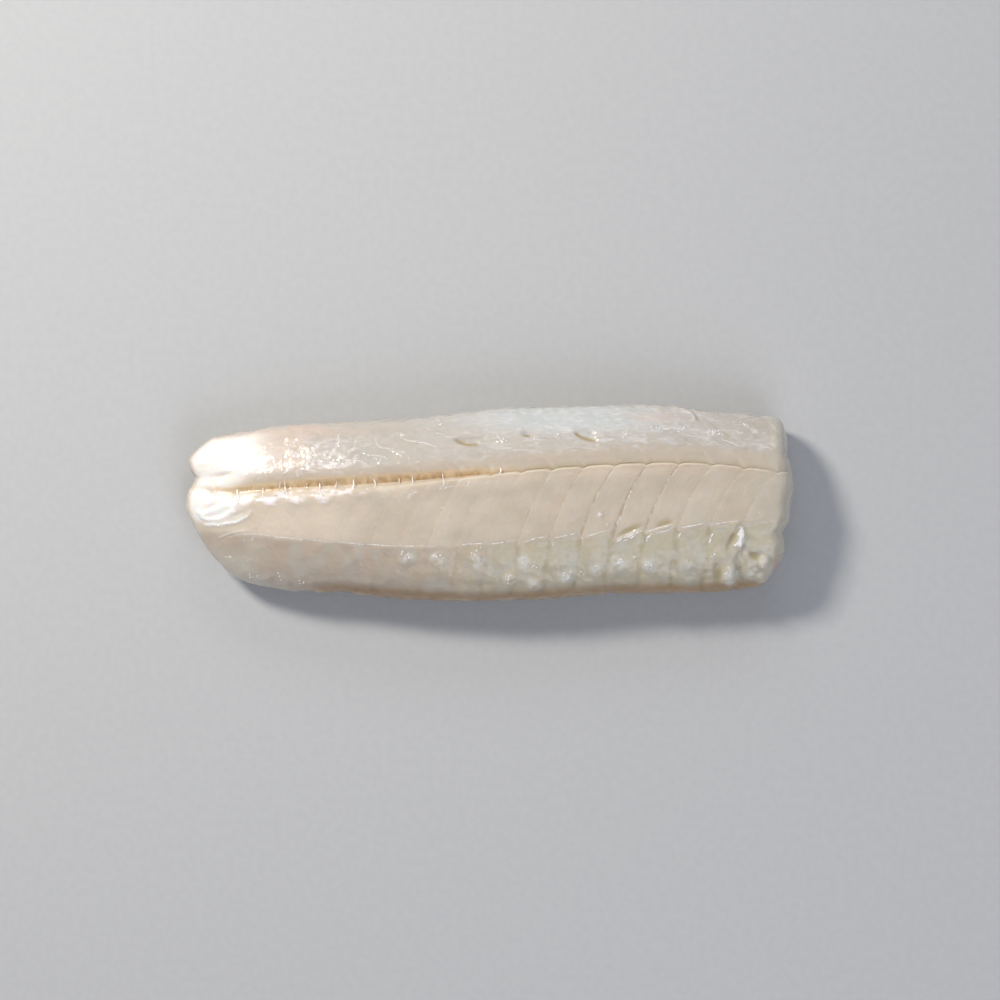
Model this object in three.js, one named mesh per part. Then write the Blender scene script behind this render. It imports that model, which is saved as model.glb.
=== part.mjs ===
// A raw, skinned cod loin that lies on its outer side, bone side up.
// Millimetres, +Z up. +X runs from the tapered end to the knife-cut end, and +Y from the
// near edge to the far edge. The origin is under the middle of the piece, at its base.
//
// The flesh is one solid. Four lines run along it: the far edge, the groove where the
// bones were drawn, a lower seam and the near edge. The flakes cross them in a W, and
// rings of the mesh follow the flakes, so that each flake's edge is a true edge here.

import * as THREE from 'three';
import { mergeVertices } from 'three/addons/utils/BufferGeometryUtils.js';

// ---------------------------------------------------------------- Driving dimensions
const TAPERED_END = -117.0; // x of the thin end
const CUT_END = 116.6; // x of the knife-cut end
const TAPER_LENGTH = 25; // how far the thin end takes to round off
const CUT_ROUNDING = 8; // the same at the cut end
const TAPER_SQUARENESS = 2.35; // 2 is an ellipse, larger is squarer
const CUT_SQUARENESS = 2.7;

const WAIST_SHARE = 0.42; // height of the widest level, as a share of the crown's
const FAR_SHOULDER = 2.9; // squareness of the back's shoulder, looking along the piece
const NEAR_SHOULDER = 2.15; // the belly side falls away more gently
const SHOULDER_DROP = 2.2; // how steeply both shoulders meet the widest level
const UNDER_SQUARENESS = 2.7;
const SETTLE = 1.32; // the underside is pressed flat where it would sink below its rest
const END_REACH = 30; // how far in from an end its own outline still shifts the flesh

const FLAKE_START = -68.2; // x at the lower seam of the flake edge that counts as 0
const FLAKE_PITCH = 10.8; // width of the first flake
const FLAKE_GROWTH = 0.141; // each flake is wider than the last by this much
const FLAKE_LEAN = 13.5; // how far a flake edge leans over from seam to groove
const FLAKE_SWEEP = 12.5; // half of its sweep back from the groove to the far edge

// The flakes' relief: the lip at a flake's edge, its swell and the valley between two.
const MIDDLE_FLAKES = { lip: 0.55, swell: 0.2, valley: 0.35 };
const BACK_FLAKES = { lip: 0.3, swell: 0.15, valley: 0.2 };
const BELLY_BLOCKS = { lip: 0.35, swell: 0.55, valley: 0.5 };
const VALLEY_WIDTH = 0.11; // as a share of a flake
const BACK_OFFSET = 0.35; // flakes of the back meet the groove this much of a flake later
const GROOVE_WALL = { thin: 2.8, cut: 1.4 }; // width of its upper wall at either end
const GROOVE_FOOT = { thin: 1.5, cut: 1.1 }; // and of its lower wall
const BACK_LIP = { rise: 0.9, from: 5.5, width: 3.6 }; // rounded lip above the groove
const MIDDLE_LIP = { rise: 0.5, from: 5.0, width: 3.4 }; // and below it
const BELLY_STEP = { thin: 0.45, cut: 0.95 }; // drop from the middle band to the belly side
const SEAM_LIP = { rise: 0.35, from: 1.6, width: 1.2 }; // raised rim of the belly blocks
const SLIT_WIDTH = 0.9;

const RINGS = 98; // mesh divisions along the piece
const MERIDIANS = 47; // and around it
const TOP_SPREAD = 2 / 2.4; // spreads the meridians of the upper side over its shoulders
const UNDER_SPREAD = 2 / UNDER_SQUARENESS;

// Each of these is a smooth line through [x, value] knots.
const FAR_EDGE = [
  [-117, 23.4], [-98, 26.8], [-81, 30.4], [-59, 31.8], [-26, 33.7],
  [8, 36.7], [40, 38.2], [64, 38.4], [78, 36.5], [98, 35.2], [117, 31.9],
];
const NEAR_EDGE = [
  [-117, -28.0], [-96, -30.4], [-76, -33.4], [-58, -33.8], [-36, -36.0],
  [-4, -37.4], [28, -35.8], [50, -34.2], [84, -33.9], [117, -32.0],
];
const GROOVE = [
  [-117, 6.6], [-100, 5.0], [-75, 6.8], [-40, 8.6], [-8, 11.2],
  [25, 14.3], [60, 16.3], [85, 16.0], [117, 12.4],
];
const LOWER_SEAM = [
  [-117, -10.0], [-95, -11.0], [-70, -13.4], [-35, -15.8], [0, -14.8],
  [30, -12.2], [58, -9.4], [80, -7.8], [117, -4.6],
];
const CROWN = [
  [-117, 20.0], [-100, 23.2], [-75, 27.6], [-45, 31.2], [0, 33.4],
  [50, 33.2], [90, 30.8], [117, 28.4],
];
const GROOVE_DEPTH = [
  [-117, 0.6], [-100, 1.3], [-80, 2.4], [-50, 3.6], [-10, 3.4],
  [12, 2.4], [60, 1.7], [117, 1.0],
];

// How far each end line departs from its end plane, by the place across the piece.
const TAPERED_LINE = [
  [-34, 4.6], [-26, 6.2], [-17, 4.6], [-8, 2.2], [-1, -0.2], [5, 0.6],
  [10.1, 1.9], [13, -0.8], [16.8, -4.4], [22, -6.2], [27, -6.6],
];
const CUT_LINE = [
  [-34, -7.6], [-28, -5.6], [-22.6, -3.0], [-16.3, -1.8], [-10.7, -2.9], [-6.5, -0.8],
  [0.4, -0.4], [6.5, 0.7], [15.1, 0.1], [18.4, -0.9], [24.1, -0.1], [31.6, 0.5],
];

// Dents and swellings, each an oval with its place, half sizes, turn in degrees and height.
const SPOTS = [
  { name: 'long dent in the back', at: [-8.9, 23.1], half: [5.2, 1.9], turn: 8, rise: -1.0 },
  { name: 'small dent in the back', at: [14.9, 25.8], half: [2.6, 1.8], turn: 0, rise: -0.7 },
  { name: 'deep dent in the back', at: [36.8, 25.4], half: [4.8, 2.3], turn: -22, rise: -1.5 },
  { name: 'dimple by the seam', at: [41.9, -4.6], half: [2.4, 2.2], turn: 0, rise: -0.6 },
  { name: 'knob at the cut end', at: [105.7, -22.0], half: [5.0, 4.6], turn: 0, rise: 2.3 },
  { name: 'knob at the near edge', at: [91.5, -28.4], half: [4.3, 6.2], turn: 0, rise: 2.2 },
  { name: 'notch above the knob', at: [102.4, -17.6], half: [5.4, 2.0], turn: 0, rise: -1.7 },
  { name: 'torn gap in the seam', at: [95.0, -13.2], half: [2.3, 5.0], turn: -18, rise: -1.8 },
  { name: 'pit at the thin end', at: [-103.0, 10.4], half: [4.6, 2.2], turn: 10, rise: -1.1 },
  { name: 'end of the groove', at: [-108.3, 5.0], half: [3.6, 2.4], turn: 0, rise: -1.3 },
  { name: 'fold at the thin end', at: [-101.0, -6.0], half: [9.0, 1.9], turn: 8, rise: 0.9 },
];

// Where the seam stands open: the middle of each slit, half its length and its depth.
const SLITS = [
  { middle: 50.6, half: 8.6, depth: 1.5 },
  { middle: 66.0, half: 4.6, depth: 1.2 },
];

// ---------------------------------------------------------------- Small helpers
/** A smooth line through [position, value] knots, level beyond its ends. */
function through(knots) {
  const last = knots.length - 1;
  const slope = (i) => {
    const before = knots[Math.max(i - 1, 0)];
    const after = knots[Math.min(i + 1, last)];
    return (after[1] - before[1]) / (after[0] - before[0]);
  };
  return (at) => {
    const place = THREE.MathUtils.clamp(at, knots[0][0], knots[last][0]);
    let i = 0;
    while (i < last - 1 && place > knots[i + 1][0]) {
      i += 1;
    }
    const span = knots[i + 1][0] - knots[i][0];
    const t = (place - knots[i][0]) / span;
    const rest = 1 - t;
    return (
      knots[i][1] * rest * rest * (1 + 2 * t) +
      knots[i + 1][1] * t * t * (3 - 2 * t) +
      slope(i) * span * t * rest * rest -
      slope(i + 1) * span * t * t * rest
    );
  };
}

/** Places from 0 to 1 that share out a density evenly: closer where it is high. */
function stations(count, density) {
  const samples = 4000;
  const total = [0];
  for (let i = 1; i <= samples; i += 1) {
    total.push(total[i - 1] + density((i - 0.5) / samples));
  }
  const places = [];
  let i = 0;
  for (let n = 0; n <= count; n += 1) {
    const wanted = (total[samples] * n) / count;
    while (i < samples - 1 && total[i + 1] < wanted) {
      i += 1;
    }
    places.push((i + (wanted - total[i]) / (total[i + 1] - total[i])) / samples);
  }
  return places;
}

/** A rounded bump of height 1 and half width 1, which is 0 beyond 1. */
function hump(distance) {
  const inside = Math.max(1 - distance * distance, 0);
  return inside * inside;
}

const bell = (distance) => Math.exp(-distance * distance);
const ramp = THREE.MathUtils.smoothstep;
const power = (value, exponent) => Math.sign(value) * Math.abs(value) ** exponent;

// ---------------------------------------------------------------- Lines of the piece
const farEdge = through(FAR_EDGE);
const nearEdge = through(NEAR_EDGE);
const groove = through(GROOVE);
const lowerSeam = through(LOWER_SEAM);
const crown = through(CROWN);
const grooveDepth = through(GROOVE_DEPTH);
const taperedLine = through(TAPERED_LINE);
const cutLine = through(CUT_LINE);

// Across the piece, mesh places run from -1 at the near edge to 1 at the far edge. The
// seam and the groove keep these two places, so they stay on a meridian all the way.
const SEAM_PLACE = -0.36;
const GROOVE_PLACE = 0.34;

/** y of a place across the piece, at x. */
function acrossAt(place, x) {
  const seam = lowerSeam(x);
  const channel = groove(x);
  if (place < SEAM_PLACE) {
    const near = nearEdge(x);
    return near + ((seam - near) * (place + 1)) / (SEAM_PLACE + 1);
  }
  if (place < GROOVE_PLACE) {
    return seam + ((channel - seam) * (place - SEAM_PLACE)) / (GROOVE_PLACE - SEAM_PLACE);
  }
  const far = farEdge(x);
  return channel + ((far - channel) * (place - GROOVE_PLACE)) / (1 - GROOVE_PLACE);
}

/** How far a flake's edge has moved along X at a place across the piece. */
function lean(place) {
  if (place < SEAM_PLACE) {
    return 0;
  }
  if (place < GROOVE_PLACE) {
    const share = (place - SEAM_PLACE) / (GROOVE_PLACE - SEAM_PLACE);
    return FLAKE_LEAN * (0.72 * share + 0.28 * share ** 3);
  }
  const share = (place - GROOVE_PLACE) / (1 - GROOVE_PLACE);
  return FLAKE_LEAN - FLAKE_SWEEP * (1 - Math.cos(Math.PI * share));
}

/** Counts flakes along the lower seam: a whole number at each flake's edge. */
function flakeCount(x) {
  const run = Math.max(FLAKE_PITCH ** 2 + 2 * FLAKE_GROWTH * (x - FLAKE_START), 1);
  return (Math.sqrt(run) - FLAKE_PITCH) / FLAKE_GROWTH;
}

// ---------------------------------------------------------------- Smooth body
/** The ring at a place from 0 to 1 along the piece: its x and its size. */
function ringAt(along) {
  const span = CUT_END - TAPERED_END;
  const fromTaper = (along * span) / TAPER_LENGTH;
  const fromCut = ((1 - along) * span) / CUT_ROUNDING;
  const taper = Math.min(fromTaper, 1);
  const cut = Math.min(fromCut, 1);
  const taperSize = (1 - (1 - taper) ** TAPER_SQUARENESS) ** (1 / TAPER_SQUARENESS);
  const cutSize = (1 - (1 - cut) ** CUT_SQUARENESS) ** (1 / CUT_SQUARENESS);
  return { x: TAPERED_END + along * span, size: Math.min(taperSize, cutSize) };
}

/** The place across the piece, from -1 to 1, of a turn from 0 to 1 round the ring. */
function placeOf(turn) {
  return power(Math.cos(2 * Math.PI * turn), turn < 0.5 ? TOP_SPREAD : UNDER_SPREAD);
}

/** Height of the smooth body on one side, at a share from -1 to 1 of its half width. */
function heightAt(share, height, onTop) {
  const waist = WAIST_SHARE * height;
  if (onTop) {
    const shoulder = share > 0 ? FAR_SHOULDER : NEAR_SHOULDER;
    return waist + (height - waist) * (1 - Math.abs(share) ** shoulder) ** (1 / SHOULDER_DROP);
  }
  const fall = (1 - Math.abs(share) ** UNDER_SQUARENESS) ** (1 / UNDER_SQUARENESS);
  return Math.max(waist * (1 - SETTLE * fall), 0);
}

/** Point of the smooth body, before any relief. Turn runs from 0 to 1 round the ring. */
function smoothPoint(along, turn) {
  const ring = ringAt(along);
  const place = placeOf(turn);
  const fromEnds = Math.min(ring.x - TAPERED_END, CUT_END - ring.x);
  const x = ring.x + lean(place) * ramp(fromEnds, 8, 33);
  const middle = (farEdge(x) + nearEdge(x)) / 2;
  const halfWidth = (farEdge(x) - nearEdge(x)) / 2;
  const across = acrossAt(place, x);
  const share = THREE.MathUtils.clamp((across - middle) / halfWidth, -1, 1);
  const waist = WAIST_SHARE * crown(x);
  const heart = middle / 2 + groove(x) / 10 + 1; // where the end caps close
  const y = heart + (across - heart) * ring.size;
  const z = waist + (heightAt(share, crown(x), turn < 0.5) - waist) * ring.size;
  const atTaper = 1 - ramp(x, TAPERED_END, TAPERED_END + END_REACH + 9);
  const atCut = ramp(x, CUT_END - END_REACH, CUT_END);
  return new THREE.Vector3(x + atTaper * taperedLine(y) + atCut * cutLine(y), y, z);
}

// ---------------------------------------------------------------- Relief of the flesh
/** An even spread of factors from 0.6 to 1.4, one for each whole number. */
function uneven(number) {
  const wave = Math.sin(number * 12.9898 + 4.1) * 437.5453;
  return 0.6 + 0.8 * (wave - Math.floor(wave));
}

/** Height along one flake: a lip at its edge, a swell, and a fine valley to the next. */
function flakeShape(count, form) {
  const part = count - Math.floor(count);
  const edge = Math.min(part, 1 - part);
  const lip = form.lip * ramp(part, 0, 0.13) * (1 - part);
  const swell = form.swell * (1 - (2 * part - 1) ** 4);
  const valley = form.valley * uneven(Math.round(count) + 0.37);
  return uneven(Math.floor(count)) * (lip + swell) - valley * bell(edge / VALLEY_WIDTH);
}

/** Height of the relief above the smooth body at a point of its upper side. */
function relief(x, y, place) {
  const count = flakeCount(x - lean(place));
  const fromGroove = y - groove(x);
  const fromSeam = y - lowerSeam(x);
  const towardsCut = ramp(x, -60, 40);
  const between = (ends) => THREE.MathUtils.lerp(ends.thin, ends.cut, towardsCut);
  const inMiddle = ramp(fromSeam, -0.6, 1.2) * ramp(-fromGroove, -0.4, 1.4);

  // The groove and the rounded lips above and below it.
  const wall = between(fromGroove > 0 ? GROOVE_WALL : GROOVE_FOOT);
  let rise = BACK_LIP.rise * bell((fromGroove - BACK_LIP.from) / BACK_LIP.width);
  rise += MIDDLE_LIP.rise * bell((fromGroove + MIDDLE_LIP.from) / MIDDLE_LIP.width);

  // Middle band: flakes like tiles, plainer towards the thin end.
  rise += inMiddle * (0.25 + 0.75 * towardsCut) * flakeShape(count, MIDDLE_FLAKES);

  // Back: low swept flakes that die out before the groove.
  rise += ramp(fromGroove, 3, 9) * flakeShape(count + BACK_OFFSET, BACK_FLAKES);

  // Belly side: blocks that swell between furrows, a step below the middle band.
  const belly = ramp(-fromSeam, -0.4, 1.6);
  rise += belly * (flakeShape(count, BELLY_BLOCKS) - between(BELLY_STEP));
  rise += SEAM_LIP.rise * towardsCut * bell((fromSeam + SEAM_LIP.from) / SEAM_LIP.width);

  rise *= ramp(x, TAPERED_END + 5, TAPERED_END + 25);
  rise -= grooveDepth(x) * bell(fromGroove / wall);
  for (const slit of SLITS) {
    const open = hump((x - slit.middle) / slit.half);
    rise -= slit.depth * open * bell((fromSeam - 0.2) / SLIT_WIDTH);
  }
  for (const spot of SPOTS) {
    const turn = THREE.MathUtils.degToRad(spot.turn);
    const dx = x - spot.at[0];
    const dy = y - spot.at[1];
    const along = (dx * Math.cos(turn) + dy * Math.sin(turn)) / spot.half[0];
    const over = (dy * Math.cos(turn) - dx * Math.sin(turn)) / spot.half[1];
    rise += spot.rise * hump(Math.hypot(along, over) / 1.5);
  }
  return rise;
}

// ---------------------------------------------------------------- The solid
const RING_PLACES = stations(RINGS, (along) => {
  const x = TAPERED_END + along * (CUT_END - TAPERED_END);
  const count = flakeCount(x);
  const edge = Math.abs(count - Math.round(count));
  const atTaper = 5 * bell((x - TAPERED_END) / 3) + 0.8 * bell((x - TAPERED_END) / 16);
  const atCut = 9 * bell((x - CUT_END) / 1.6) + 2.4 * bell((x - CUT_END) / 6);
  return 1 + 0.9 * bell(edge / 0.13) + atTaper + atCut;
});

const TURN_PLACES = stations(MERIDIANS, (turn) => {
  if (turn > 0.5) {
    return 0.62; // the underside is plain
  }
  const toGroove = (placeOf(turn) - GROOVE_PLACE) / 0.07;
  const toSeam = (placeOf(turn) - SEAM_PLACE) / 0.05;
  return 1 + 2.2 * bell(toGroove) + 1.5 * bell(toSeam);
});

/** Moves one point out along the smooth body's own normal by the relief there. */
function fleshPoint(along, turn) {
  const point = smoothPoint(along, turn);
  const reach = 1e-3; // a short way along or around, to find the normal with
  const inner = THREE.MathUtils.clamp(along, reach, 1 - reach);
  const lengthwise = smoothPoint(inner + reach, turn).sub(smoothPoint(inner - reach, turn));
  const ahead = smoothPoint(inner, (turn + reach) % 1);
  const around = ahead.sub(smoothPoint(inner, (turn + 1 - reach) % 1));
  const normal = around.cross(lengthwise).normalize();
  const upper = ramp(normal.z, -0.55, 0.05) * ramp(point.z, 2, 8);
  const offEnds = ramp(Math.hypot(normal.y, normal.z), 0.3, 0.8) * ramp(ringAt(along).size, 0, 0.4);
  const rise = relief(point.x, point.y, placeOf(turn)) * upper * offEnds;
  return point.addScaledVector(normal, rise);
}

/** The loin: a sphere's mesh, pole to pole along X, with each vertex put on the flesh. */
function loinGeometry() {
  const sphere = new THREE.SphereGeometry(1, MERIDIANS, RINGS);
  const position = sphere.attributes.position;
  for (let i = 0; i < position.count; i += 1) {
    const column = i % (MERIDIANS + 1);
    const row = RINGS - Math.floor(i / (MERIDIANS + 1));
    const point = fleshPoint(RING_PLACES[row], TURN_PLACES[column % MERIDIANS]);
    position.setXYZ(i, point.x, point.y, point.z);
  }
  sphere.deleteAttribute('normal');
  sphere.deleteAttribute('uv');
  const closed = mergeVertices(sphere, 1e-3);
  closed.computeBoundingBox();
  const box = closed.boundingBox;
  closed.translate(-(box.min.x + box.max.x) / 2, -(box.min.y + box.max.y) / 2, -box.min.z);
  closed.computeVertexNormals();
  return closed;
}

const flesh = new THREE.MeshStandardMaterial({ color: '#d2c6b6', roughness: 0.35, metalness: 0 });

const loin = new THREE.Mesh(loinGeometry(), flesh);
loin.name = 'loin';

const piece = new THREE.Group();
piece.add(loin);

export default piece;
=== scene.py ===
"""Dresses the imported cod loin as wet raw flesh, and sets its floor, lights and camera.

The loin is a skinned back loin that lies on its outer side. Lengths are millimetres until
a mesh is written, and metres in Blender. +X runs from the tapered end to the knife-cut
end, and +Y from the near edge to the far edge, as in the CAD. From +Y to -Y the upper
side shows the back, the groove where the backbone lay, the middle band, the lower seam
and the belly's blocks.
"""

import logging
import math
from collections.abc import Callable, Sequence
from dataclasses import dataclass, field
from enum import Enum

import bmesh
import bpy
import numpy as np
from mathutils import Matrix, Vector
from mathutils.bvhtree import BVHTree


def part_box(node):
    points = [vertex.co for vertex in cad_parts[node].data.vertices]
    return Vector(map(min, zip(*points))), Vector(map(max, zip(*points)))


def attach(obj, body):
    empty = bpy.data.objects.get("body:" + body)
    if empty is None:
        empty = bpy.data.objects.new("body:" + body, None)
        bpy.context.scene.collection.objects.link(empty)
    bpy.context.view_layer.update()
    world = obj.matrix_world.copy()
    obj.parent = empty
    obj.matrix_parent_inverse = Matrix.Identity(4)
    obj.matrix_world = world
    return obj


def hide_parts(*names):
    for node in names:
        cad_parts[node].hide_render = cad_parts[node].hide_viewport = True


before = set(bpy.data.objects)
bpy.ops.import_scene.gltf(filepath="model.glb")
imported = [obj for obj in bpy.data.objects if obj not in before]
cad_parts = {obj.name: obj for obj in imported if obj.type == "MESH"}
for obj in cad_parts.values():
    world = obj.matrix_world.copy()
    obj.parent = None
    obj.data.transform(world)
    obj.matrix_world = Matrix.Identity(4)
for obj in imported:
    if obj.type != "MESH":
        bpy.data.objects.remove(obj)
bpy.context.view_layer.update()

log = logging.getLogger("cod_loin")

MM = 0.001
NODE = "loin"
BODY = "root"

Array = np.ndarray
Plan = tuple[float, float]
Route = tuple[Plan, ...]


# ------------------------------------------------------------------ Small mathematics
class Through:
    """A smooth line through (position, value) knots, level beyond its ends."""

    def __init__(self, *knots: Plan) -> None:
        """Keeps the knots and works out the slope at each."""
        self.at, self.value = np.array(knots, float).T
        before = np.r_[0, np.arange(len(knots) - 1)]
        after = np.r_[np.arange(1, len(knots)), len(knots) - 1]
        self.slope = (self.value[after] - self.value[before]) / (self.at[after] - self.at[before])

    def __call__(self, place: Array) -> Array:
        """Returns the line's value at each place."""
        place = np.clip(place, self.at[0], self.at[-1])
        i = np.clip(np.searchsorted(self.at, place, "left") - 1, 0, len(self.at) - 2)
        span = self.at[i + 1] - self.at[i]
        t = (place - self.at[i]) / span
        rest = 1 - t
        return (
            self.value[i] * rest * rest * (1 + 2 * t)
            + self.value[i + 1] * t * t * (3 - 2 * t)
            + self.slope[i] * span * t * rest * rest
            - self.slope[i + 1] * span * t * t * rest
        )


def ramp(value: Array, low: float, high: float) -> Array:
    """A smooth rise from 0 at low to 1 at high."""
    t = np.clip((value - low) / (high - low), 0, 1)
    return t * t * (3 - 2 * t)


def bell(distance: Array) -> Array:
    """A bell curve of height 1 that has fallen to a third at a distance of 1."""
    return np.exp(-distance * distance)


def hump(distance: Array) -> Array:
    """A rounded bump of height 1, which is 0 beyond a distance of 1."""
    return np.maximum(1 - distance * distance, 0) ** 2


def power(value: Array, exponent: Array | float) -> Array:
    """A power that keeps the value's sign."""
    return np.sign(value) * np.abs(value) ** exponent


# A turn that hides the cells of drift, and the numbers that scramble their corners.
CELL_TURN = np.array(((0.8, 0.5, 0.33), (-0.6, 0.7, 0.39), (0.05, -0.5, 0.86)))
CELL_MIX = (12.9898, 78.233, 37.719)
SCRAMBLE = 43758.5453
ABOVE_ZERO = 1e5


def uneven(number: Array) -> Array:
    """Factors from 0.6 to 1.4, one for each whole number."""
    return 0.6 + 0.8 * np.modf(np.sin(number * 12.9898 + 4.1) * 437.5453 + 1000)[0]


def stations(count: int, density: Callable[[Array], Array]) -> Array:
    """Places from 0 to 1 that share out a density evenly.

    Args:
        count: How many intervals to make.
        density: How close the places are at each place from 0 to 1.

    Returns:
        The count + 1 places, from 0 to 1.
    """
    samples = 8000
    middles = (np.arange(samples) + 0.5) / samples
    total = np.r_[0, np.cumsum(density(middles))]
    return np.interp(np.linspace(0, total[-1], count + 1), total, np.linspace(0, 1, samples + 1))


def drift(points: Array, size: float, seed: float) -> Array:
    """Smooth random values from -1 to 1.

    Args:
        points: The places, one row each, in millimetres.
        size: How far apart the values change, in millimetres.
        seed: Picks one pattern out of many.

    Returns:
        One value for each point.
    """
    spots = points @ CELL_TURN / size + seed
    cell = np.floor(spots)
    t = spots - cell
    t = t * t * (3 - 2 * t)
    total = np.zeros(len(points))
    for corner in np.ndindex(2, 2, 2):
        weight = np.prod(np.where(corner, t, 1 - t), axis=1)
        scrambled = np.sin((cell + corner) @ CELL_MIX) * SCRAMBLE
        total += weight * (2 * np.modf(scrambled + ABOVE_ZERO)[0] - 1)
    return total


def to_line(x: Array, y: Array, route: Sequence[Plan]) -> tuple[Array, Array]:
    """Finds each point's distance to a route of straight stretches, seen from above.

    Args:
        x: Where the points are along the piece.
        y: Where the points are across it.
        route: The route's corners.

    Returns:
        The distances, and how far along the route from 0 to 1 the nearest place lies.
    """
    best = np.full(x.shape, 1e9)
    share = np.zeros(x.shape)
    stretches = len(route) - 1
    for i, (start, end) in enumerate(zip(route[:-1], route[1:])):
        step = np.subtract(end, start)
        t = np.clip(((x - start[0]) * step[0] + (y - start[1]) * step[1]) / (step @ step), 0, 1)
        away = np.hypot(x - start[0] - t * step[0], y - start[1] - t * step[1])
        nearer = away < best
        best = np.where(nearer, away, best)
        share = np.where(nearer, (i + t) / stretches, share)
    return best, share


# ------------------------------------------------------------------ Form of the flesh
@dataclass(frozen=True)
class Spot:
    """An oval dent or swelling: place, half sizes, height, and turn in degrees."""

    at: Plan
    half: Plan
    rise: float
    turn: float = 0.0

    def weight(self, x: Array, y: Array) -> Array:
        """Returns 1 in the middle of the oval, falling to 0 half its size outside it."""
        turn = math.radians(self.turn)
        dx, dy = x - self.at[0], y - self.at[1]
        along = (dx * math.cos(turn) + dy * math.sin(turn)) / self.half[0]
        over = (dy * math.cos(turn) - dx * math.sin(turn)) / self.half[1]
        return hump(np.hypot(along, over) / 1.5)


@dataclass(frozen=True)
class Crease:
    """A ridge or a furrow that follows a route, seen from above, and fades at its ends."""

    route: Route
    width: float
    rise: float

    def weight(self, x: Array, y: Array) -> Array:
        """Returns 1 on the route, falling to 0 beside it and at its ends."""
        away, share = to_line(x, y, self.route)
        return bell(away / self.width) * ramp(share, 0, 0.15) * ramp(-share, -1, -0.85)


@dataclass(frozen=True)
class Flake:
    """The relief across one flake: the lip at its edge, its swell and the valley beside it."""

    lip: float
    swell: float
    valley: float
    width: float

    def height(self, count: Array, strength: Array | float = 1.0) -> Array:
        """Returns the height at each flake count, a whole number being a flake's edge."""
        part = count - np.floor(count)
        edge = np.minimum(part, 1 - part)
        lip = self.lip * ramp(part, 0, 0.07) * (1 - part)
        swell = self.swell * (1 - (2 * part - 1) ** 4)
        valley = self.valley * uneven(np.round(count) + 0.37) * strength
        return uneven(np.floor(count)) * (lip + swell) - valley * bell(edge / self.width)


@dataclass
class Places:
    """Where each vertex lies on the smooth body, in the terms that the relief uses."""

    x: Array
    y: Array
    z: Array
    count: Array
    from_groove: Array
    from_seam: Array
    upper: Array


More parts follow.
